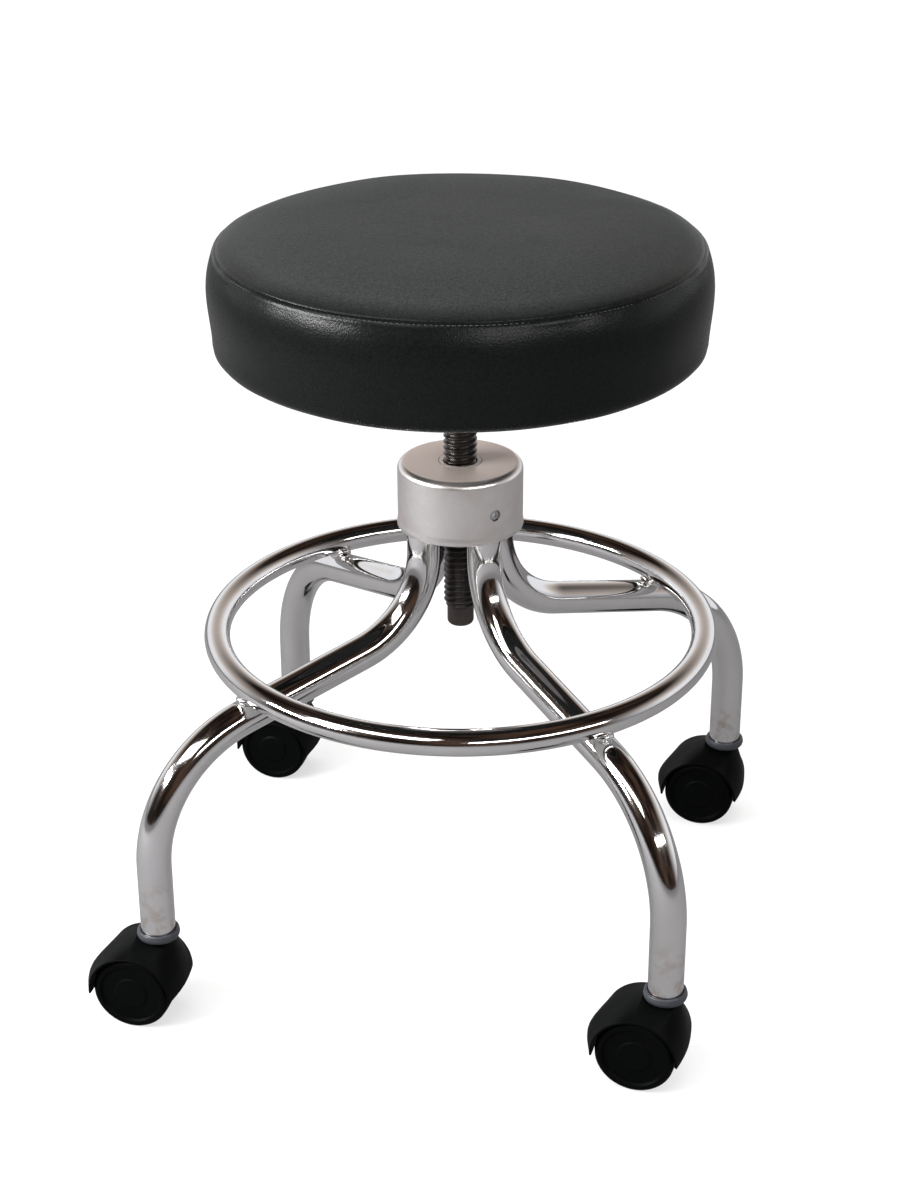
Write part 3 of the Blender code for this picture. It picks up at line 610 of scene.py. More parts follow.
def vinyl_material():
    """Upholstery vinyl: its top duller and painted lighter as painted sheen, with painted shade on the
    roundover just above the seam, its drawn sides black and glossy.
    """
    material, tree, shader = new_material("black_vinyl", (0.012, 0.013, 0.013), 0.42)
    shader.inputs["Specular IOR Level"].default_value = VINYL_GLOSS
    grain = use_group(tree, GRAIN, Cells_per_Metre=850.0)
    marks = use_group(tree, HANDLING, Scale=9.0)
    place = own_place(tree)
    height = own_height(tree, place)
    # Mask from the seam up: painted shade on the roundover, then the top's painted sheen; it also turns
    # the roughness from glossy to dull.
    top_sheen_and_dulling = spread(tree, height, SEAM_HEIGHT - 0.0005, SEAM_HEIGHT + SHEEN_BLEND_ABOVE_SEAM)
    flecks = spread(tree, mottle(tree, place, 520.0, 3.0, 0.8), 0.38, 0.62)
    tone = math_node(tree, "ADD", scaled(tree, flecks, 0.7), scaled(tree, grain.outputs["Tone"], 0.3))
    side = blend_colours(tree, tone, *VINYL_SIDE)
    top = blend_colours(tree, tone, *VINYL_TOP_PAINTED_SHEEN)
    feed(tree, shader, "Base Color", blend_colours(tree, top_sheen_and_dulling, side, top))
    gloss = spread(tree, grain.outputs["Height"], 0.4, 1.2, 0.27, 0.20)
    dull = spread(tree, grain.outputs["Height"], 0.4, 1.2, 0.62, 0.52)
    rough = spread(tree, top_sheen_and_dulling, 0.0, 1.0, gloss, dull)
    rough = math_node(tree, "ADD", rough, scaled(tree, marks.outputs["Mask"], 0.07))
    feed(tree, shader, "Roughness", rough)
    bump(tree, shader, grain.outputs["Height"], 0.00018, 0.45)
    return material


def thread_material():
    material, tree, shader = new_material("black_thread", (0.03, 0.03, 0.03), 0.5)
    place = own_place(tree)
    twist = add(tree, "ShaderNodeTexWave", {"Vector": place, "Scale": 900.0, "Distortion": 1.0})
    feed(tree, shader, "Base Color", blend_colours(tree, twist.outputs["Fac"], *THREAD_BLACK))
    bump(tree, shader, twist.outputs["Fac"], 0.0001)
    return material


def chrome_material():
    material, tree, shader = new_material("chrome_plate", (0.78, 0.775, 0.77), 0.06, 1.0)
    marks = use_group(tree, HANDLING, Scale=16.0)
    rough = math_node(tree, "ADD", spread(tree, marks.outputs["Mask"], 0.0, 1.0, 0.065, 0.12),
                      scaled(tree, marks.outputs["Specks"], 0.10))
    feed(tree, shader, "Roughness", rough)
    clear = blend_colours(tree, marks.outputs["Mask"], *CHROME_CLEAR)
    place = own_place(tree)
    height = own_height(tree, place)
    spots = spread(tree, mottle(tree, place, 75.0, 4.0, 0.65), 0.50, 0.68)
    tarnish = scaled(tree, spots, spread(tree, height, TARNISH_HEIGHT, LEG_END_HEIGHT))
    feed(tree, shader, "Base Color", blend_colours(tree, tarnish, clear, CHROME_TARNISH))
    bump(tree, shader, mottle(tree, place, 38.0, 1.0), 0.0006, 0.03)
    return material


def satin_material():
    material, tree, shader = new_material("satin_steel", (0.62, 0.60, 0.585), 0.30, 1.0)
    lathe = use_group(tree, LATHE, Rings_per_Metre=2600.0)
    marks = use_group(tree, HANDLING, Scale=34.0)
    wear = use_group(tree, EDGES, Amount=0.6)
    base = blend_colours(tree, marks.outputs["Mask"], *SATIN_TURNED)
    place = own_place(tree)
    height = own_height(tree, place)
    # The flat top face: its lighter brown colour is painted sheen; it also gets more roughness and a
    # lower metallic share.
    top_face_sheen = spread(tree, height, HUB_TOP - SHEEN_FACE_BELOW_TOP[0], HUB_TOP - SHEEN_FACE_BELOW_TOP[1])
    base = blend_colours(tree, top_face_sheen, base, SATIN_TOP_PAINTED_SHEEN)
    feed(tree, shader, "Base Color", blend_colours(tree, wear.outputs["Mask"], base, SATIN_EDGE))
    rough = math_node(tree, "ADD", spread(tree, lathe.outputs["Tone"], 0.0, 1.0, 0.27, 0.31),
                      scaled(tree, marks.outputs["Mask"], 0.08))
    feed(tree, shader, "Roughness", math_node(tree, "ADD", rough, scaled(tree, top_face_sheen, 0.15)))
    feed(tree, shader, "Metallic", spread(tree, top_face_sheen, 0.0, 1.0, 1.0, 0.6))
    shader.inputs["Anisotropic"].default_value = 0.2
    bump(tree, shader, lathe.outputs["Height"], 0.000015, 0.08)
    return material


def oxide_material():
    material, tree, shader = new_material("oiled_black_oxide", (0.020, 0.016, 0.014), 0.3, 0.4)
    marks = use_group(tree, HANDLING, Scale=60.0)
    wear = use_group(tree, EDGES, Amount=0.15)
    base = blend_colours(tree, marks.outputs["Mask"], *OXIDE_OILED)
    feed(tree, shader, "Base Color", blend_colours(tree, wear.outputs["Mask"], base, OXIDE_EDGE))
    feed(tree, shader, "Roughness", spread(tree, marks.outputs["Mask"], 0.0, 1.0, 0.30, 0.46))
    shader.inputs["Coat Weight"].default_value = 0.35
    shader.inputs["Coat Roughness"].default_value = 0.08
    bump(tree, shader, marks.outputs["Specks"], 0.00005, 0.5)
    return material


def stub_material():
    material, tree, shader = new_material("bare_stub_steel", (0.085, 0.070, 0.066), 0.52, 0.6)
    lathe = use_group(tree, LATHE, Rings_per_Metre=1800.0)
    marks = use_group(tree, HANDLING, Scale=70.0)
    feed(tree, shader, "Base Color", blend_colours(tree, marks.outputs["Mask"], *STUB_BARE))
    bump(tree, shader, lathe.outputs["Height"], 0.00006, 0.6)
    return material


def zinc_material():
    material, tree, shader = new_material("zinc_plate", (0.45, 0.45, 0.46), 0.36, 1.0)
    marks = use_group(tree, HANDLING, Scale=45.0)
    wear = use_group(tree, EDGES, Amount=0.5)
    base = blend_colours(tree, marks.outputs["Mask"], *ZINC_DULL)
    feed(tree, shader, "Base Color", blend_colours(tree, wear.outputs["Mask"], base, ZINC_EDGE))
    feed(tree, shader, "Roughness", spread(tree, marks.outputs["Mask"], 0.0, 1.0, 0.28, 0.48))
    return material


def plastic_material(name, tones, roughness, grain_scale, grain_depth, gloss=0.5):
    """Moulded plastic with a faint spark-eroded texture, lighter where it is handled."""
    dark, light = tones
    material, tree, shader = new_material(name, dark, roughness)
    shader.inputs["Specular IOR Level"].default_value = gloss
    marks = use_group(tree, HANDLING, Scale=26.0)
    wear = use_group(tree, EDGES, Amount=0.35)
    mask = math_node(tree, "MAXIMUM", scaled(tree, marks.outputs["Mask"], 0.4), wear.outputs["Mask"])
    feed(tree, shader, "Base Color", blend_colours(tree, mask, (*dark, 1), (*light, 1)))
    rough = spread(tree, marks.outputs["Mask"], 0.0, 1.0, roughness - 0.05, roughness + 0.08)
    feed(tree, shader, "Roughness", rough)
    place = own_place(tree)
    bump(tree, shader, mottle(tree, place, grain_scale, 2.0), grain_depth, 0.5)
    return material


def plywood_material():
    material, tree, shader = new_material("plywood", (0.5, 0.36, 0.2), 0.7)
    place = own_place(tree)
    stretch = add(tree, "ShaderNodeMapping", {"Vector": place, "Scale": (4.0, 60.0, 60.0)})
    figure = mottle(tree, stretch.outputs[0], 5.0, 6.0)
    plies = add(tree, "ShaderNodeTexWave", {"Vector": place, "Scale": 110.0, "Distortion": 0.4},
                bands_direction="Z")
    mask = scaled(tree, figure, plies.outputs["Fac"])
    feed(tree, shader, "Base Color", blend_colours(tree, mask, *PLYWOOD_GRAIN))
    bump(tree, shader, figure, 0.0002)
    return material


def cloth_material():
    material, tree, shader = new_material("dust_cover_cloth", (0.018, 0.018, 0.018), 0.9)
    place = own_place(tree)
    warp = add(tree, "ShaderNodeTexWave", {"Vector": place, "Scale": 260.0}, bands_direction="X")
    weft = add(tree, "ShaderNodeTexWave", {"Vector": place, "Scale": 260.0}, bands_direction="Y")
    weave = math_node(tree, "MAXIMUM", warp.outputs["Fac"], weft.outputs["Fac"])
    feed(tree, shader, "Base Color", blend_colours(tree, weave, *CLOTH_WEAVE))
    bump(tree, shader, weave, 0.0002)
    return material


def floor_material():
    """White paper that the camera sees bright, and that gives the metal a quieter grey to mirror."""
    material, tree, shader = new_material("white_sweep", FLOOR_MIRRORED, 0.8)
    shader.inputs["Specular IOR Level"].default_value = 0.0
    seen = add(tree, "ShaderNodeLightPath").outputs["Is Camera Ray"]
    paper = blend_colours(tree, seen, (*FLOOR_MIRRORED, 1), (*FLOOR_SEEN, 1))
    feed(tree, shader, "Base Color", paper)
    shader.inputs["Emission Color"].default_value = (1.0, 1.0, 1.0, 1.0)
    feed(tree, shader, "Emission Strength", scaled(tree, seen, FLOOR_GLOW))
    return material


# Seat

def bezier(p0, p1, p2, p3, steps):
    """Points of a cubic curve in a plane."""
    points = []
    for i in range(steps + 1):
        t = i / steps
        a, b, c, d = (1 - t) ** 3, 3 * t * (1 - t) ** 2, 3 * t * t * (1 - t), t ** 3
        points.append(Vector([a * p0[k] + b * p1[k] + c * p2[k] + d * p3[k] for k in (0, 1)]))
    return points


def crown_curve(inset=0.0, steps=60):
    points = []
    for i in range(steps + 1):
        radius = SEAM_RADIUS * i / steps
        height = SEAM_HEIGHT + CROWN * (1 - (radius / SEAM_RADIUS) ** CROWN_SHARPNESS)
        points.append(Vector((radius * (1 - inset / SEAM_RADIUS), height - inset)))
    return points


def side_curve(inset=0.0, steps=60):
    low = (SIDE_LOW_RADIUS, SEAT_BOTTOM + SIDE_LOW_ROUNDING)
    reach = SIDE_BULGE_REACH * (SEAM_HEIGHT - low[1])
    curve = bezier((SEAM_RADIUS, SEAM_HEIGHT), (SEAM_RADIUS + SIDE_BULGE, SEAM_HEIGHT - reach),
                   (low[0], low[1] + reach), low, steps // 2)
    hem = (HEM_RADIUS, SEAT_BOTTOM)
    curve += bezier(low, (low[0], low[1] - SIDE_LOW_REACH * SIDE_LOW_ROUNDING),
                    ((SIDE_LOW_RADIUS + HEM_RADIUS) / 2, SEAT_BOTTOM), hem, steps // 2)[1:]
    return [point - Vector((inset, inset * (1 - 2 * i / steps))) for i, point in enumerate(curve)]


def lengths_along(curve):
    total = [0.0]
    for first, second in zip(curve, curve[1:]):
        total.append(total[-1] + (second - first).length)
    return total


def point_at(curve, lengths, distance):
    """Point and outward normal of a curve at a distance along it."""
    for i in range(1, len(curve)):
        if distance <= lengths[i] or i == len(curve) - 1:
            share = (distance - lengths[i - 1]) / (lengths[i] - lengths[i - 1])
            along = (curve[i] - curve[i - 1]).normalized()
            return curve[i - 1].lerp(curve[i], share), Vector((-along.y, along.x))


def skin_stations(total, fine_end):
    """Distances along a curve, close together at the seam's end of it."""
    stations = []
    distance = 0.0
    while distance < total - 1e-6:
        stations.append(distance)
        near = distance if fine_end == "start" else total - distance
        distance += SEAM_FINE_STEP if near < SEAM_FINE_REACH else min(SKIN_STEP, 0.35 * near)
    stations.append(total)
    return stations


def seat_profile():
    """Rows of the seat's skin: (point, normal, distance from the seam, negative on the crown)."""
    rows = []
    crown, side = crown_curve(), side_curve()
    crown_lengths, side_lengths = lengths_along(crown), lengths_along(side)
    for distance in skin_stations(crown_lengths[-1], "end"):
        point, normal = point_at(crown, crown_lengths, distance)
        rows.append((point, normal, distance - crown_lengths[-1]))
    seam_normal = (rows[-1][1] + point_at(side, side_lengths, 1e-5)[1]).normalized()
    rows[-1] = (rows[-1][0], seam_normal, 0.0)
    for distance in skin_stations(side_lengths[-1], "start")[1:]:
        point, normal = point_at(side, side_lengths, distance)
        rows.append((point, normal, distance))
    return rows


def swollen_pad():
    """The padding swelled by air pressure under cloth, as a tree of its faces to probe."""
    outline = crown_curve(SWELL_INSET, 12) + side_curve(SWELL_INSET, 16)[1:]
    outline = [(point.x, point.y) for point in outline] + [(0.0, SEAT_BOTTOM + SWELL_INSET)]
    outline[0] = (0.0, outline[0][1])
    pad = mesh_object("pad_start", spin(outline, 64), bpy.data.materials["black_vinyl"])
    grid = pad.modifiers.new("voxels", "REMESH")
    grid.mode = "VOXEL"
    grid.voxel_size = SWELL_VOXEL
    settle(pad)
    cloth = pad.modifiers.new("cloth", "CLOTH")
    cloth.settings.use_pressure = True
    cloth.settings.uniform_pressure_force = SWELL_PRESSURE
    cloth.settings.effector_weights.gravity = 0.0
    cloth.point_cache.frame_start = 1
    cloth.point_cache.frame_end = SWELL_FRAMES
    scene = bpy.context.scene
    for step in range(1, SWELL_FRAMES + 1):
        scene.frame_set(step)
    settle(pad)
    relax = pad.modifiers.new("relax", "SMOOTH")
    relax.iterations = 14
    finer = pad.modifiers.new("finer", "SUBSURF")
    finer.levels = 1
    settle(pad)
    mesh = pad.data
    verts = [vertex.co.copy() for vertex in mesh.vertices]
    faces = [tuple(face.vertices) for face in mesh.polygons]
    bpy.data.objects.remove(pad, do_unlink=True)
    bpy.data.meshes.remove(mesh)
    scene.frame_set(1)
    return BVHTree.FromPolygons(verts, faces)


def seam_dip(distance):
    """How far the skin sinks into the seam, with a soft shoulder on both sides of it."""
    away = abs(distance)
    shoulder = SEAM_SHOULDER * exp(-((away - SEAM_SHOULDER_AWAY) / SEAM_SHOULDER_WIDTH) ** 2)
    return SEAM_DEPTH * exp(-away / SEAM_WIDTH) - shoulder


def soften(grid, passes):
    """Blur a grid of values along its rows, which close on themselves, and across them."""
    for _ in range(passes):
        last = len(grid) - 1
        count = len(grid[0])
        grid = [[(2 * grid[i][k] + grid[i][k - 1] + grid[i][(k + 1) % count] + grid[max(i - 1, 0)][k]
                  + grid[min(i + 1, last)][k]) / 6 for k in range(count)] for i in range(last + 1)]
    return grid


def swell_grid(rows):
    """How far the swollen pad stands out of the plain profile, mostly its unevenness."""
    pad = swollen_pad()
    reach = 0.02
    grid = []
    for point, normal, _ in rows:
        row = []
        for i in range(SKIN_SEGMENTS):
            angle = 2 * pi * i / SKIN_SEGMENTS
            out = spun(normal, angle)
            hit = pad.ray_cast(spun(point, angle) - out * reach, out)
            row.append(hit[3] - reach if hit[0] is not None else 0.0)
        middle = sum(row) / len(row)
        grid.append([SWELL_LIMIT * tanh((value - middle) / SWELL_LIMIT) for value in row])
    shares = [SWELL_TOP_SHARE if distance <= 0.0 else SWELL_SIDE_SHARE for _, _, distance in rows]
    grid = [[share * value for value in row] for share, row in zip(shares, grid)]
    return soften(grid, SWELL_BLUR)


def skin_offset(point, distance, angle, swell):
    """How far a point of the skin stands proud of its plain profile."""
    offset = -seam_dip(distance)
    fade = min(max((point.y - SEAT_BOTTOM) / UNDERSIDE_FADE, 0.0), 1.0)
    offset += (SOFT_WAVE_HEIGHT * noise.noise(spun(point, angle) / SOFT_WAVE_LENGTH) + swell) * fade
    pucker = noise.noise(Vector((cos(angle), sin(angle), 0.3)) * SEAM_RADIUS / PUCKER_LENGTH)
    panel = 1.0 if distance > 0.0 else PUCKER_TOP_SHARE
    return offset + PUCKER_HEIGHT * panel * pucker * exp(-(distance / PUCKER_REACH) ** 2)


def make_cushion(vinyl):
    """Vinyl skin over the swollen pad, with its sewn seam, closed under the board's edge."""
    bm = bmesh.new()
    rows = seat_profile()
    swells = swell_grid(rows)
    top = bm.verts.new((0.0, 0.0, rows[0][0].y + sum(swells[0]) / SKIN_SEGMENTS))
    loops = []
    for (point, normal, distance), swell in list(zip(rows, swells))[1:]:
        loop = []
        for i in range(SKIN_SEGMENTS):
            angle = 2 * pi * i / SKIN_SEGMENTS
            spot = point + normal * skin_offset(point, distance, angle, swell[i])
            loop.append(bm.verts.new(spun(spot, angle)))
        loops.append(loop)
    inside = [(HEM_RADIUS, SEAT_BOTTOM + HEM_THICKNESS),
              (BOARD_RADIUS, SEAT_BOTTOM + HEM_THICKNESS + TOUCH),
              (BOARD_RADIUS, BOARD_SEAT_HEIGHT)]
    for corner in inside:
        loops.append([bm.verts.new(spun(corner, 2 * pi * i / SKIN_SEGMENTS))
                      for i in range(SKIN_SEGMENTS)])
    for first, second in zip(loops, loops[1:]):
        for i in range(SKIN_SEGMENTS):
            j = (i + 1) % SKIN_SEGMENTS
            bm.faces.new((first[i], second[i], second[j], first[j]))
    for i in range(SKIN_SEGMENTS):
        bm.faces.new((top, loops[0][i], loops[0][(i + 1) % SKIN_SEGMENTS]))
    bm.faces.new(loops[-1])
    cushion = mesh_object("seat_cushion", bm, vinyl, 60.0)
    cushion.location = AXIS
    dress(cushion, "seat", "vinyl", "seat_cover", "seat_foam")
    return cushion


def make_stitching(thread):
    """A row of single stitches just under the seam, each dipping into the skin at its ends."""
    bm = bmesh.new()
    side = side_curve()
    point, normal = point_at(side, lengths_along(side), STITCH_BELOW_SEAM)
    lift = SEAM_SHOULDER * 0.6
    count = round(2 * pi * point.x / STITCH_PITCH)
    rings, sides = 5, 6
    for i in range(count):
        middle = 2 * pi * i / count
        loops = []
        for k in range(rings):
            share = k / (rings - 1) - 0.5
            angle = middle + share * STITCH_LENGTH / point.x
            dip = lift - STITCH_DIP * (2 * share) ** 4
            centre = spun(point + normal * dip, angle)
            across = spun(normal, angle)
            up = across.cross(Vector((-sin(angle), cos(angle), 0.0)))
            loops.append([bm.verts.new(v) for v in circle(centre, across, up, STITCH_RADIUS, sides)])
        for first, second in zip(loops, loops[1:]):
            for k in range(sides):
                m = (k + 1) % sides
                bm.faces.new((first[k], first[m], second[m], second[k]))
        bm.faces.new(loops[0])
        bm.faces.new(loops[-1])
    row = mesh_object("seat_stitching", bm, thread, 60.0)
    row.location = AXIS
    return dress(row, "seat", "vinyl")


def make_staples(steel):
    """Staples that hold the dust cover's edge to the board."""
    bm = bmesh.new()
    height = SEAT_BOTTOM - TOUCH - STAPLE_BELOW_SEAT
    for i in range(STAPLE_COUNT):
        angle = 2 * pi * (i + 0.5) / STAPLE_COUNT
        out = Vector((cos(angle), sin(angle), 0.0))
        turn = STAPLE_SKEW * sin(7.0 * i)
        along = Vector((-sin(angle + turn), cos(angle + turn), 0.0))
        centre = out * STAPLE_RADIUS + Vector((0, 0, height))
        sizes = (along * STAPLE_LENGTH, out * STAPLE_WIDTH, Vector((0, 0, STAPLE_THICKNESS)))
        matrix = Matrix(sizes).transposed()
        made = bmesh.ops.create_cube(bm, size=1.0)
        for vert in made["verts"]:
            vert.co = matrix @ vert.co + centre
    bmesh.ops.bevel(bm, geom=list(bm.edges), offset=STAPLE_ROUNDING, segments=1, affect="EDGES")
    staples = mesh_object("seat_staples", bm, steel, 40.0)
    staples.location = AXIS
    return dress(staples, "seat", "steel")


# Lift screw

def thread_height(share):
    """Thread profile over one pitch: narrow flat crest, straight flanks and flat root."""
    away = abs(share - 0.5) * 2
    return min(max((THREAD_ROOT_SHARE - away) / THREAD_FLANK_SHARE, 0.0), 1.0)


def make_lift_screw(oxide, bare):
    """Helical thread with a run-out, a plain spigot above it and a bare stub below it."""
    low, high = THREAD_LOW_END, BOSS_BOTTOM - TOUCH
    core = THREAD_RADIUS - THREAD_DEPTH
    turns = ceil((high - low) / THREAD_PITCH) + 1
    bm = bmesh.new()
    columns = []
    for i in range(THREAD_COLUMNS + 1):
        column = []
        angle = 2 * pi * i / THREAD_COLUMNS
        for k in range(-THREAD_SAMPLES, turns * THREAD_SAMPLES + 1):
            height = low + THREAD_PITCH * (k / THREAD_SAMPLES + i / THREAD_COLUMNS)
            from_end = max(min(height - low, high - height) / THREAD_PITCH, 0.0)
            run_out = min(from_end * 2.0, 1.0)
            radius = core + THREAD_DEPTH * thread_height(k / THREAD_SAMPLES % 1.0) * run_out
            held = min(max(height, low), high)
            column.append(bm.verts.new(spun((radius, held), angle)))
        columns.append(column)
    for first, second in zip(columns, columns[1:]):
        for k in range(len(first) - 1):
            bm.faces.new((first[k], second[k], second[k + 1], first[k + 1]))
    ends = [(core, high, 0.0), (core, SCREW_TOP, SPIGOT_ROUNDING), (0.0, SCREW_TOP, 0.0)]
    add_turned_end(bm, ends, 0)
    slope = core - STUB_RADIUS
    ends = [(core, low, 0.0), (STUB_RADIUS, low - max(slope, 0.0002), 0.0),
            (STUB_RADIUS, SCREW_BOTTOM, STUB_ROUNDING), (0.0, SCREW_BOTTOM, 0.0)]
    add_turned_end(bm, ends, 1)
    bmesh.ops.remove_doubles(bm, verts=bm.verts, dist=2e-6)
    bmesh.ops.dissolve_degenerate(bm, edges=bm.edges, dist=1e-6)
    screw = mesh_object("lift_thread", bm, oxide, 50.0)
    screw.data.materials.append(bare)
    screw.location = AXIS
    return dress(screw, "seat", "blackened_steel", "lift_screw")


def add_turned_end(bm, corners, material_index):
    """Turn an open outline onto a mesh that already has its first ring."""
    outline = [corners[0][:2]] + rounded(corners, 5)[1:-1] + [corners[-1][:2]]
    previous = None
    for point in outline:
        loop = [bm.verts.new(spun(point, 2 * pi * i / THREAD_COLUMNS)) for i in range(THREAD_COLUMNS)]
        if previous:
            for i in range(THREAD_COLUMNS):
                j = (i + 1) % THREAD_COLUMNS
                face = bm.faces.new((previous[i], previous[j], loop[j], loop[i]))
                face.material_index = material_index
        previous = loop


# Hub

def make_hub(satin, dark):
    """Turned cup over the legs' ends, drilled for the set screw."""
    ceiling = HUB_TOP - HUB_TOP_THICKNESS
    corners = [(HUB_INNER_RADIUS, HUB_BOTTOM, 0.0003), (HUB_RADIUS + HUB_LIP, HUB_BOTTOM, 0.0012),
               (HUB_RADIUS + HUB_LIP, HUB_BOTTOM + 0.5 * HUB_LIP_HEIGHT, 0.0016),
               (HUB_RADIUS, HUB_BOTTOM + HUB_LIP_HEIGHT, 0.002), (HUB_RADIUS, HUB_TOP, HUB_ROUNDING),
               (HUB_BORE, HUB_TOP, 0.0004), (HUB_BORE, ceiling, 0.0), (HUB_INNER_RADIUS, ceiling, 0.001)]
    hub = turned("hub_cup", rounded(corners, 8), satin, segments=160)
    angle = radians(LEG_ANGLES["front_right"])
    out = Vector((cos(angle), sin(angle), 0.0))
    height = HUB_BOTTOM + SET_SCREW_ABOVE_BOTTOM
    face = AXIS + out * (HUB_RADIUS - SET_SCREW_SUNK) + Vector((0, 0, height))
    bpy.context.view_layer.update()
    cut(hub, rod("hub_drill", SET_SCREW_RADIUS + SCREW_CLEARANCE, 0.02, face, out))
    hub.data.set_sharp_from_angle(angle=radians(35))
    dress(hub, "base", "satin_steel", "hub_cover")

    corners = [(0.0, -SET_SCREW_LENGTH, 0.0), (0.6 * SET_SCREW_RADIUS, -SET_SCREW_LENGTH, 0.0),
               (SET_SCREW_RADIUS, -0.8 * SET_SCREW_LENGTH, 0.0), (SET_SCREW_RADIUS, 0.0, 0.0007),
               (0.0, 0.0, 0.0)]
    screw = turned("hub_set_screw", rounded(corners, 4), dark, place=Vector(), segments=48)
    key = rod("key_cut", SET_SCREW_KEY_WIDTH / sqrt(3), 2 * SET_SCREW_KEY_DEPTH, Vector(), (0, 0, 1), 6)
    cut(screw, key)
    screw.data.set_sharp_from_angle(angle=radians(30))
    screw.rotation_euler = out.to_track_quat("Z", "Y").to_euler()
    screw.location = face
    dress(screw, "base", "dark_steel", "set_screw")


# Legs, foot ring and welds

def leg_path():
    """Middle line of a leg in its own upright plane, as (distance from the axis, height) points."""
    along = Vector((cos(LEG_SLOPE), -sin(LEG_SLOPE)))
    square = Vector((sin(LEG_SLOPE), cos(LEG_SLOPE)))
    under_ring = Vector((RING_RADIUS, RING_HEIGHT)) - square * (RING_TUBE_RADIUS + LEG_RADIUS + TOUCH)
    top_corner = under_ring + along * ((LEG_CIRCLE_AT_HUB - under_ring.x) / along.x)
    foot_corner = under_ring + along * ((LEG_CIRCLE_AT_FLOOR - under_ring.x) / along.x)
    half_turn = (pi / 2 - LEG_SLOPE) / 2
    top_start = top_corner.y + LEG_TOP_BEND * tan(half_turn)
    foot_end = foot_corner.y - LEG_FOOT_BEND * tan(half_turn)
    top_end = HUB_TOP - HUB_TOP_THICKNESS - TOUCH
    points = [Vector((LEG_CIRCLE_AT_HUB, top_end))]
    for i in range(LEG_BEND_STEPS + 1):
        turn = pi + (pi / 2 - LEG_SLOPE) * i / LEG_BEND_STEPS
        points.append(Vector((LEG_CIRCLE_AT_HUB + LEG_TOP_BEND * (1 + cos(turn)),
                              top_start + LEG_TOP_BEND * sin(turn))))
    for i in range(LEG_BEND_STEPS + 1):
        turn = (pi / 2 - LEG_SLOPE) * (1 - i / LEG_BEND_STEPS)
        points.append(Vector((LEG_CIRCLE_AT_FLOOR - LEG_FOOT_BEND * (1 - cos(turn)),
                              foot_end + LEG_FOOT_BEND * sin(turn))))
    points.append(Vector((LEG_CIRCLE_AT_FLOOR, LEG_END_HEIGHT)))
    return points


def around_axis(angle_degrees):
    return Matrix.Translation(AXIS) @ Matrix.Rotation(radians(angle_degrees), 4, "Z")


def make_leg(side, chrome):
    """A bent tube with open ends, its rims eased."""
    path = [Vector((point.x, 0.0, point.y)) for point in leg_path()]
    sideways = Vector((0, 1, 0))
    stations = []
    for i, point in enumerate(path):
        before = path[max(i - 1, 0)]
        after = path[min(i + 1, len(path) - 1)]
        along = Vector((0, 0, 0))
        if i + 1 < len(path):
            along += (after - point).normalized()
        if i > 0:
            along += (point - before).normalized()
        stations.append((point, along.normalized()))
    rings = []
    bore = LEG_RADIUS - LEG_WALL
    ease = LEG_END_ROUNDING
    shifts = [(0, 0.0, LEG_RADIUS - ease), (0, ease, LEG_RADIUS)]
    shifts += [(i, 0.0, LEG_RADIUS) for i in range(1, len(path) - 1)]
    last = len(path) - 1
    shifts += [(last, -ease, LEG_RADIUS), (last, 0.0, LEG_RADIUS - ease), (last, 0.0, bore)]
    shifts += [(i, 0.0, bore) for i in range(last - 1, 0, -1)]
    shifts += [(0, 0.0, bore)]
    for i, shift, radius in shifts:
        point, along = stations[i]
        across = sideways.cross(along)
        rings.append(circle(point + along * shift, across, sideways, radius, LEG_SIDES))
    leg = mesh_object(f"leg_tube_{side}", sweep(rings, closed=True), chrome, 40.0)
    leg.matrix_world = around_axis(LEG_ANGLES[side])
    return dress(leg, "base", "chrome", f"leg_{side}")


def make_foot_ring(chrome):
    """The ring's tube, with the faint step of its one butt weld."""
    rings = []
    for i in range(RING_STEPS):
        angle = 2 * pi * i / RING_STEPS
        out = Vector((cos(angle), sin(angle), 0.0))
        from_joint = (angle - RING_JOINT_ANGLE) * RING_RADIUS
        step = RING_JOINT_HEIGHT * exp(-(from_joint / RING_JOINT_LENGTH) ** 2)
        centre = out * RING_RADIUS + Vector((0, 0, RING_HEIGHT))
        rings.append(circle(centre, Vector((0, 0, 1)), out, RING_TUBE_RADIUS + step, RING_SIDES))
    ring = mesh_object("foot_ring_tube", sweep(rings, closed=True), chrome, 60.0)
    ring.location = AXIS
    return dress(ring, "base", "chrome", "foot_ring")


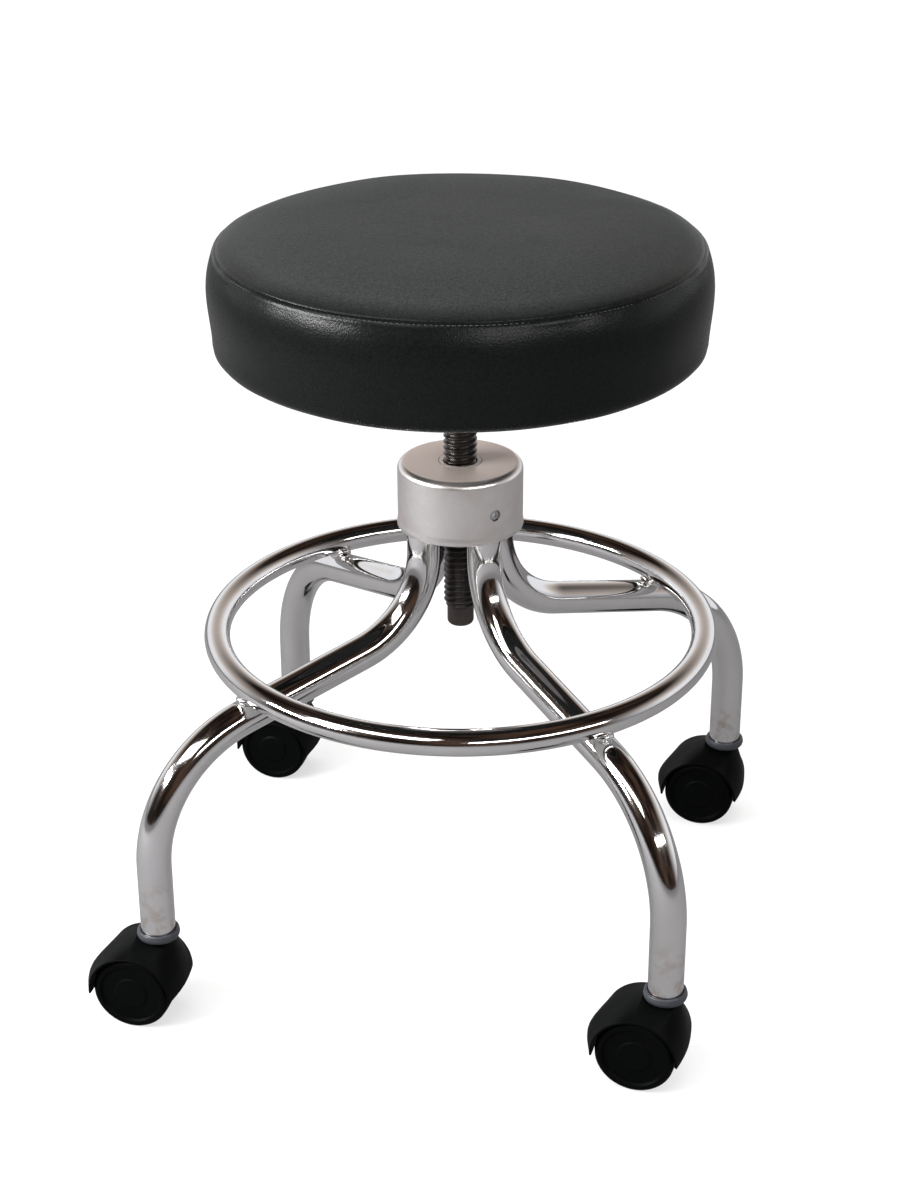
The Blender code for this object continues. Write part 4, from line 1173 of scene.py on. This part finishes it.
def make_weld(side, chrome):
    """A lumpy bead in the crevice where the ring lies on a leg."""
    square = Vector((sin(LEG_SLOPE), 0.0, cos(LEG_SLOPE)))
    along = Vector((cos(LEG_SLOPE), 0.0, -sin(LEG_SLOPE)))
    sideways = Vector((0, 1, 0))
    contact = Vector((RING_RADIUS, 0.0, RING_HEIGHT)) - square * (RING_TUBE_RADIUS + TOUCH / 2)
    seed = LEG_ANGLES[side]
    points = []
    for i in range(WELD_STEPS):
        angle = 2 * pi * i / WELD_STEPS
        a, b = WELD_REACH_ALONG * cos(angle), WELD_REACH_ACROSS * sin(angle)
        over = RING_TUBE_RADIUS - sqrt(RING_TUBE_RADIUS ** 2 - a * a)
        under = LEG_RADIUS - sqrt(LEG_RADIUS ** 2 - b * b)
        bend = b * b / (2 * RING_RADIUS)
        points.append(contact + along * (a - bend) + sideways * b + square * (over - under) / 2)
    rings = []
    for i, point in enumerate(points):
        angle = 2 * pi * i / WELD_STEPS
        ahead = (points[(i + 1) % WELD_STEPS] - points[i - 1]).normalized()
        across = ahead.cross(square).normalized()
        up = across.cross(ahead)
        bead = 1.0 + WELD_LUMPS * noise.noise(Vector((cos(angle), sin(angle), seed)) * WELD_LUMP_SCALE)
        ripple = WELD_RIPPLE * cos(WELD_RIPPLES * angle)
        rings.append(circle(point, across, up, WELD_RADIUS * (bead + ripple), WELD_SIDES))
    weld = mesh_object(f"weld_{side}", sweep(rings, closed=True), chrome, 80.0)
    weld.matrix_world = around_axis(LEG_ANGLES[side])
    return dress(weld, "base", "chrome")


# Casters

def foot_place(side):
    place = JOINTS[f"swivel_{side}"]["pos_m"]
    return Vector((place[0], place[1], 0.0))


def caster_turn(side):
    """Matrix of a caster whose wheels trail to -X of its own frame, at its photographed heading."""
    axle = JOINTS[f"roll_{side}_a"]["pos_m"]
    foot = foot_place(side)
    heading = atan2(foot.y - axle[1], foot.x - axle[0])
    return Matrix.Translation(foot) @ Matrix.Rotation(heading, 4, "Z")


def make_collar(side, plastic):
    """The rounded collar between tube and hood, with the sleeve that grips the stem."""
    pocket = LEG_RADIUS + TOUCH
    sleeve = LEG_RADIUS - LEG_WALL - TOUCH
    floor = LEG_END_HEIGHT - TOUCH
    r = COLLAR_ROUNDING
    edge = COLLAR_RADIUS - COLLAR_EDGE
    sleeve_top = COLLAR_TOP + SLEEVE_RISE
    corners = [(COLLAR_BORE, COLLAR_BOTTOM, 0.0), (edge, COLLAR_BOTTOM, r),
               (COLLAR_RADIUS + COLLAR_BELLY, (COLLAR_BOTTOM + COLLAR_TOP) / 2, r), (edge, COLLAR_TOP, r),
               (pocket, COLLAR_TOP, 0.0004), (pocket, floor, 0.0), (sleeve, floor, 0.0),
               (sleeve, sleeve_top, 0.001), (COLLAR_BORE, sleeve_top, 0.0)]
    collar = turned(f"collar_{side}", rounded(corners, 6), plastic, place=foot_place(side), segments=64)
    return dress(collar, "base", "collar_plastic", f"socket_{side}")


def arc(centre, radius, start, end, steps):
    turns = [radians(start + (end - start) * i / steps) for i in range(steps + 1)]
    return [(centre[0] + radius * cos(turn), centre[1] + radius * sin(turn)) for turn in turns]


def hood_outline(share, shrink):
    """Outline of the hood's slice at a share of its half width: (x from the axle, height).

    The middle slice is the full shape. Towards both sides the slices draw in to an arch over the wheel.
    """
    lip = (-WHEEL_RADIUS - HOOD_LIP, HOOD_LIP_HEIGHT)
    crest = (CASTER_TRAIL - COLLAR_RADIUS, HOOD_TOP)
    shoulder = (CASTER_TRAIL + HOOD_NECK, HOOD_TOP)
    nose = (CASTER_TRAIL + HOOD_NOSE, HOOD_NOSE_HEIGHT)
    full = bezier(lip, (lip[0] - HOOD_BACK_BULGE, lip[1] + HOOD_BACK_RISE),
                  (crest[0] - HOOD_CREST_REACH, crest[1] - HOOD_CREST_DIP), crest, HOOD_STEPS)
    full += [Vector(crest).lerp(Vector(shoulder), i / HOOD_TOP_STEPS) for i in range(1, HOOD_TOP_STEPS)]
    full += bezier(shoulder, (shoulder[0] + HOOD_SHOULDER, HOOD_TOP),
                   (nose[0], nose[1] + HOOD_NOSE_SWEEP), nose, HOOD_STEPS)
    arch = WHEEL_RADIUS + HOOD_WELL_PLAY + HOOD_RIM
    kept = 1 - abs(share) ** HOOD_DOMING_POWER
    points = []
    for x, z in full:
        out = Vector((x, z - WHEEL_RADIUS))
        radius = arch + (out.length - arch) * kept - shrink
        out.normalize()
        points.append((radius * out.x, WHEEL_RADIUS + radius * out.y))
    points.append((CASTER_TRAIL + HOOD_CHIN, WHEEL_RADIUS))
    points += arc((0.0, WHEEL_RADIUS), WEB_LOW_RADIUS, WEB_LOW_START, WEB_LOW_END, WEB_LOW_STEPS)
    return points


def make_hood(side, plastic):
    """Domed shell over both wheels, with a web for the axle and a bore for the stem."""
    half, r = HOOD_WIDTH / 2, HOOD_RIM_ROUNDING
    slices = [(sin(pi * (i / HOOD_SLICES - 0.5)) * (half - r), 0.0) for i in range(HOOD_SLICES + 1)]
    rim = [(half - r + r * sin(radians(turn)), r - r * cos(radians(turn))) for turn in (30, 60, 90)]
    slices = [(-y, shrink) for y, shrink in reversed(rim)] + slices + rim
    rings = []
    for y, shrink in slices:
        share = min(abs(y) / (half - r), 1.0)
        rings.append([Vector((x - CASTER_TRAIL, y, z)) for x, z in hood_outline(share, shrink)])
    hood = mesh_object(f"hood_shell_{side}", sweep(rings), plastic, 40.0)
    bpy.context.view_layer.update()
    well = WHEEL_RADIUS + HOOD_WELL_PLAY
    for sign in (1, -1):
        middle = sign * (WEB_THICKNESS + HOOD_WIDTH) / 2
        cut(hood, rod("well", well, HOOD_WIDTH, (-CASTER_TRAIL, middle, WHEEL_RADIUS), (0, 1, 0), 96))
    axle = (-CASTER_TRAIL, 0, WHEEL_RADIUS)
    cut(hood, rod("axle_bore", AXLE_RADIUS + TOUCH, 2 * HOOD_WIDTH, axle, (0, 1, 0)))
    pocket = (0, 0, STEM_POCKET_HEIGHT + STEM_POCKET_LENGTH / 2)
    cut(hood, rod("stem_bore", STEM_RADIUS + TURNING_PLAY, STEM_POCKET_LENGTH, pocket, (0, 0, 1)))
    hood.data.shade_smooth()
    hood.data.set_sharp_from_angle(angle=radians(32))
    hood.matrix_world = caster_turn(side)
    return dress(hood, f"caster_{side}", "black_plastic", f"hood_{side}")


def wheel_outline():
    """Half section of a wheel with a blind bore: (radius, distance from the web's middle, rounding)."""
    inner = WEB_THICKNESS / 2 + TURNING_PLAY
    outer = inner + WHEEL_WIDTH
    bore = AXLE_RADIUS + TURNING_PLAY
    rim = WHEEL_RADIUS - WHEEL_RIM_WIDTH
    face = outer - WHEEL_FACE_SUNK
    blind = face - WHEEL_BORE_SHORT
    return [(bore, inner, 0.0), (WHEEL_RADIUS - 0.0002, inner, WHEEL_INNER_ROUNDING),
            (WHEEL_RADIUS, (inner + outer) / 2, 0.010), (WHEEL_RADIUS - 0.0003, outer - 0.0022, 0.0022),
            (WHEEL_RADIUS - 0.0028, outer, 0.0014), (rim, outer, 0.0004),
            (rim - WHEEL_RIM_BEVEL, face, 0.0005), (WHEEL_BOSS_FOOT, face, 0.0006),
            (WHEEL_BOSS_RADIUS, face + WHEEL_BOSS_HEIGHT, 0.0006), (0.0, face + WHEEL_BOSS_CROWN, 0.0),
            (0.0, blind, 0.0), (bore, blind, 0.0)]


def make_wheel(side, letter, facing, plastic):
    wheel = turned(f"wheel_disc_{side}_{letter}", rounded(wheel_outline(), 4), plastic, place=Vector())
    tip = Matrix.Rotation(radians(-90 * facing), 4, "X")
    wheel.matrix_world = caster_turn(side) @ Matrix.Translation((-CASTER_TRAIL, 0, WHEEL_RADIUS)) @ tip
    return dress(wheel, f"wheel_{side}_{letter}", "black_plastic", f"wheel_{side}_{letter}")


# Studio

def hang_soft_box(name, place, target, width, height, power):
    light = bpy.data.lights.new(name, "AREA")
    light.shape = "RECTANGLE"
    light.size = width
    light.size_y = height
    light.energy = power
    item = bpy.data.objects.new(name, light)
    item.location = place
    item.rotation_euler = (Vector(target) - Vector(place)).to_track_quat("-Z", "Y").to_euler()
    bpy.context.collection.objects.link(item)


def make_studio(sweep_paper):
    """Pale floor, bright backdrop behind, dark room in front, an even fill and three soft boxes."""
    bm = bmesh.new()
    bmesh.ops.create_grid(bm, x_segments=1, y_segments=1, size=FLOOR_SIZE)
    floor = mesh_object("studio_floor", bm, sweep_paper)
    floor.location = (0.0, 0.0, -FLOOR_BELOW)

    world = bpy.data.worlds.new("studio")
    bpy.context.scene.world = world
    world.use_nodes = True
    tree = world.node_tree
    tree.nodes.clear()
    direction = add(tree, "ShaderNodeTexCoord").outputs["Generated"]
    parts = add(tree, "ShaderNodeSeparateXYZ", {"Vector": direction})
    back = spread(tree, parts.outputs[1], *BACKDROP_FRONT_TO_BACK)
    low = spread(tree, parts.outputs[2], *BACKDROP_TOP_TO_LOW)
    high = spread(tree, parts.outputs[2], *BACKDROP_WARMER_FROM)
    clutter = spread(tree, mottle(tree, direction, 2.6, 4.0), *ROOM_CLUTTER)
    walls = blend_colours(tree, clutter, (*ROOM_DARK, 1), (*ROOM_BROWN, 1))
    backdrop = blend_colours(tree, high, (*ROOM_BACK, 1), (*ROOM_BACK_HIGH, 1))
    colour = blend_colours(tree, scaled(tree, back, low), walls, backdrop)
    room = add(tree, "ShaderNodeBackground", {"Color": colour, "Strength": 1.0})
    white = add(tree, "ShaderNodeBackground", {"Color": (1, 1, 1, 1), "Strength": 1.0})
    seen = add(tree, "ShaderNodeLightPath").outputs["Is Camera Ray"]
    both = add(tree, "ShaderNodeMixShader", {0: seen, 1: room.outputs[0], 2: white.outputs[0]})
    out = tree.nodes.new("ShaderNodeOutputWorld")
    tree.links.new(both.outputs[0], out.inputs["Surface"])

    fill = bpy.data.lights.new("even_fill", "SUN")
    fill.energy = FILL_STRENGTH
    fill.angle = FILL_ANGLE
    item = bpy.data.objects.new("even_fill", fill)
    item.visible_glossy = False
    bpy.context.collection.objects.link(item)
    for box in SOFT_BOXES:
        hang_soft_box(*box)


def make_camera():
    turn = Matrix.Rotation(CAMERA_TURN, 4, "Z")
    place = turn @ Vector((CAMERA_SIDE, -CAMERA_DISTANCE, 0.0)) + AXIS
    place.z = CAMERA_HEIGHT
    tilt = Matrix.Rotation(pi / 2 - CAMERA_PITCH, 4, "X") @ Matrix.Rotation(CAMERA_ROLL, 4, "Z")
    camera = bpy.data.cameras.new("photo_camera")
    camera.lens = CAMERA_LENS
    camera.sensor_width = CAMERA_SENSOR
    item = bpy.data.objects.new("photo_camera", camera)
    item.matrix_world = Matrix.Translation(place) @ turn @ tilt
    bpy.context.collection.objects.link(item)
    bpy.context.scene.camera = item


def finish_carried_nodes(materials):
    """Give the solids that stay in view their own finishes."""
    finishes = {"seat_board": "plywood", "seat_dust_cover": "cloth", "seat_plate": "zinc",
                "boss_pin": "oxide", "hub_nut": "zinc", "guide_bush": "satin"}
    for i in range(1, 5):
        finishes[f"plate_screw_{i}"] = "zinc"
    for side in SIDES:
        finishes[f"stem_{side}"] = "zinc"
        finishes[f"axle_{side}"] = "zinc"
    for node, finish in finishes.items():
        for slot in frame["nodes"][node].material_slots:
            slot.material = materials[finish]


def main():
    materials = {
        "vinyl": vinyl_material(), "thread": thread_material(), "chrome": chrome_material(),
        "satin": satin_material(), "oxide": oxide_material(), "stub": stub_material(),
        "zinc": zinc_material(), "plywood": plywood_material(), "cloth": cloth_material(),
        "collar": plastic_material("collar_plastic", COLLAR_GREY, 0.36, 900.0, 0.00003),
        "black": plastic_material("caster_plastic", CASTER_BLACK, 0.50, 1100.0, 0.00004, gloss=0.05),
    }
    bpy.context.scene.view_settings.view_transform = "Standard"
    make_camera()
    make_cushion(materials["vinyl"])
    make_stitching(materials["thread"])
    make_staples(materials["zinc"])
    make_lift_screw(materials["oxide"], materials["stub"])
    make_hub(materials["satin"], materials["zinc"])
    make_foot_ring(materials["chrome"])
    for side in SIDES:
        make_leg(side, materials["chrome"])
        make_weld(side, materials["chrome"])
        make_collar(side, materials["collar"])
        make_hood(side, materials["black"])
        make_wheel(side, "a", 1, materials["black"])
        make_wheel(side, "b", -1, materials["black"])
    finish_carried_nodes(materials)
    make_studio(floor_material())


main()
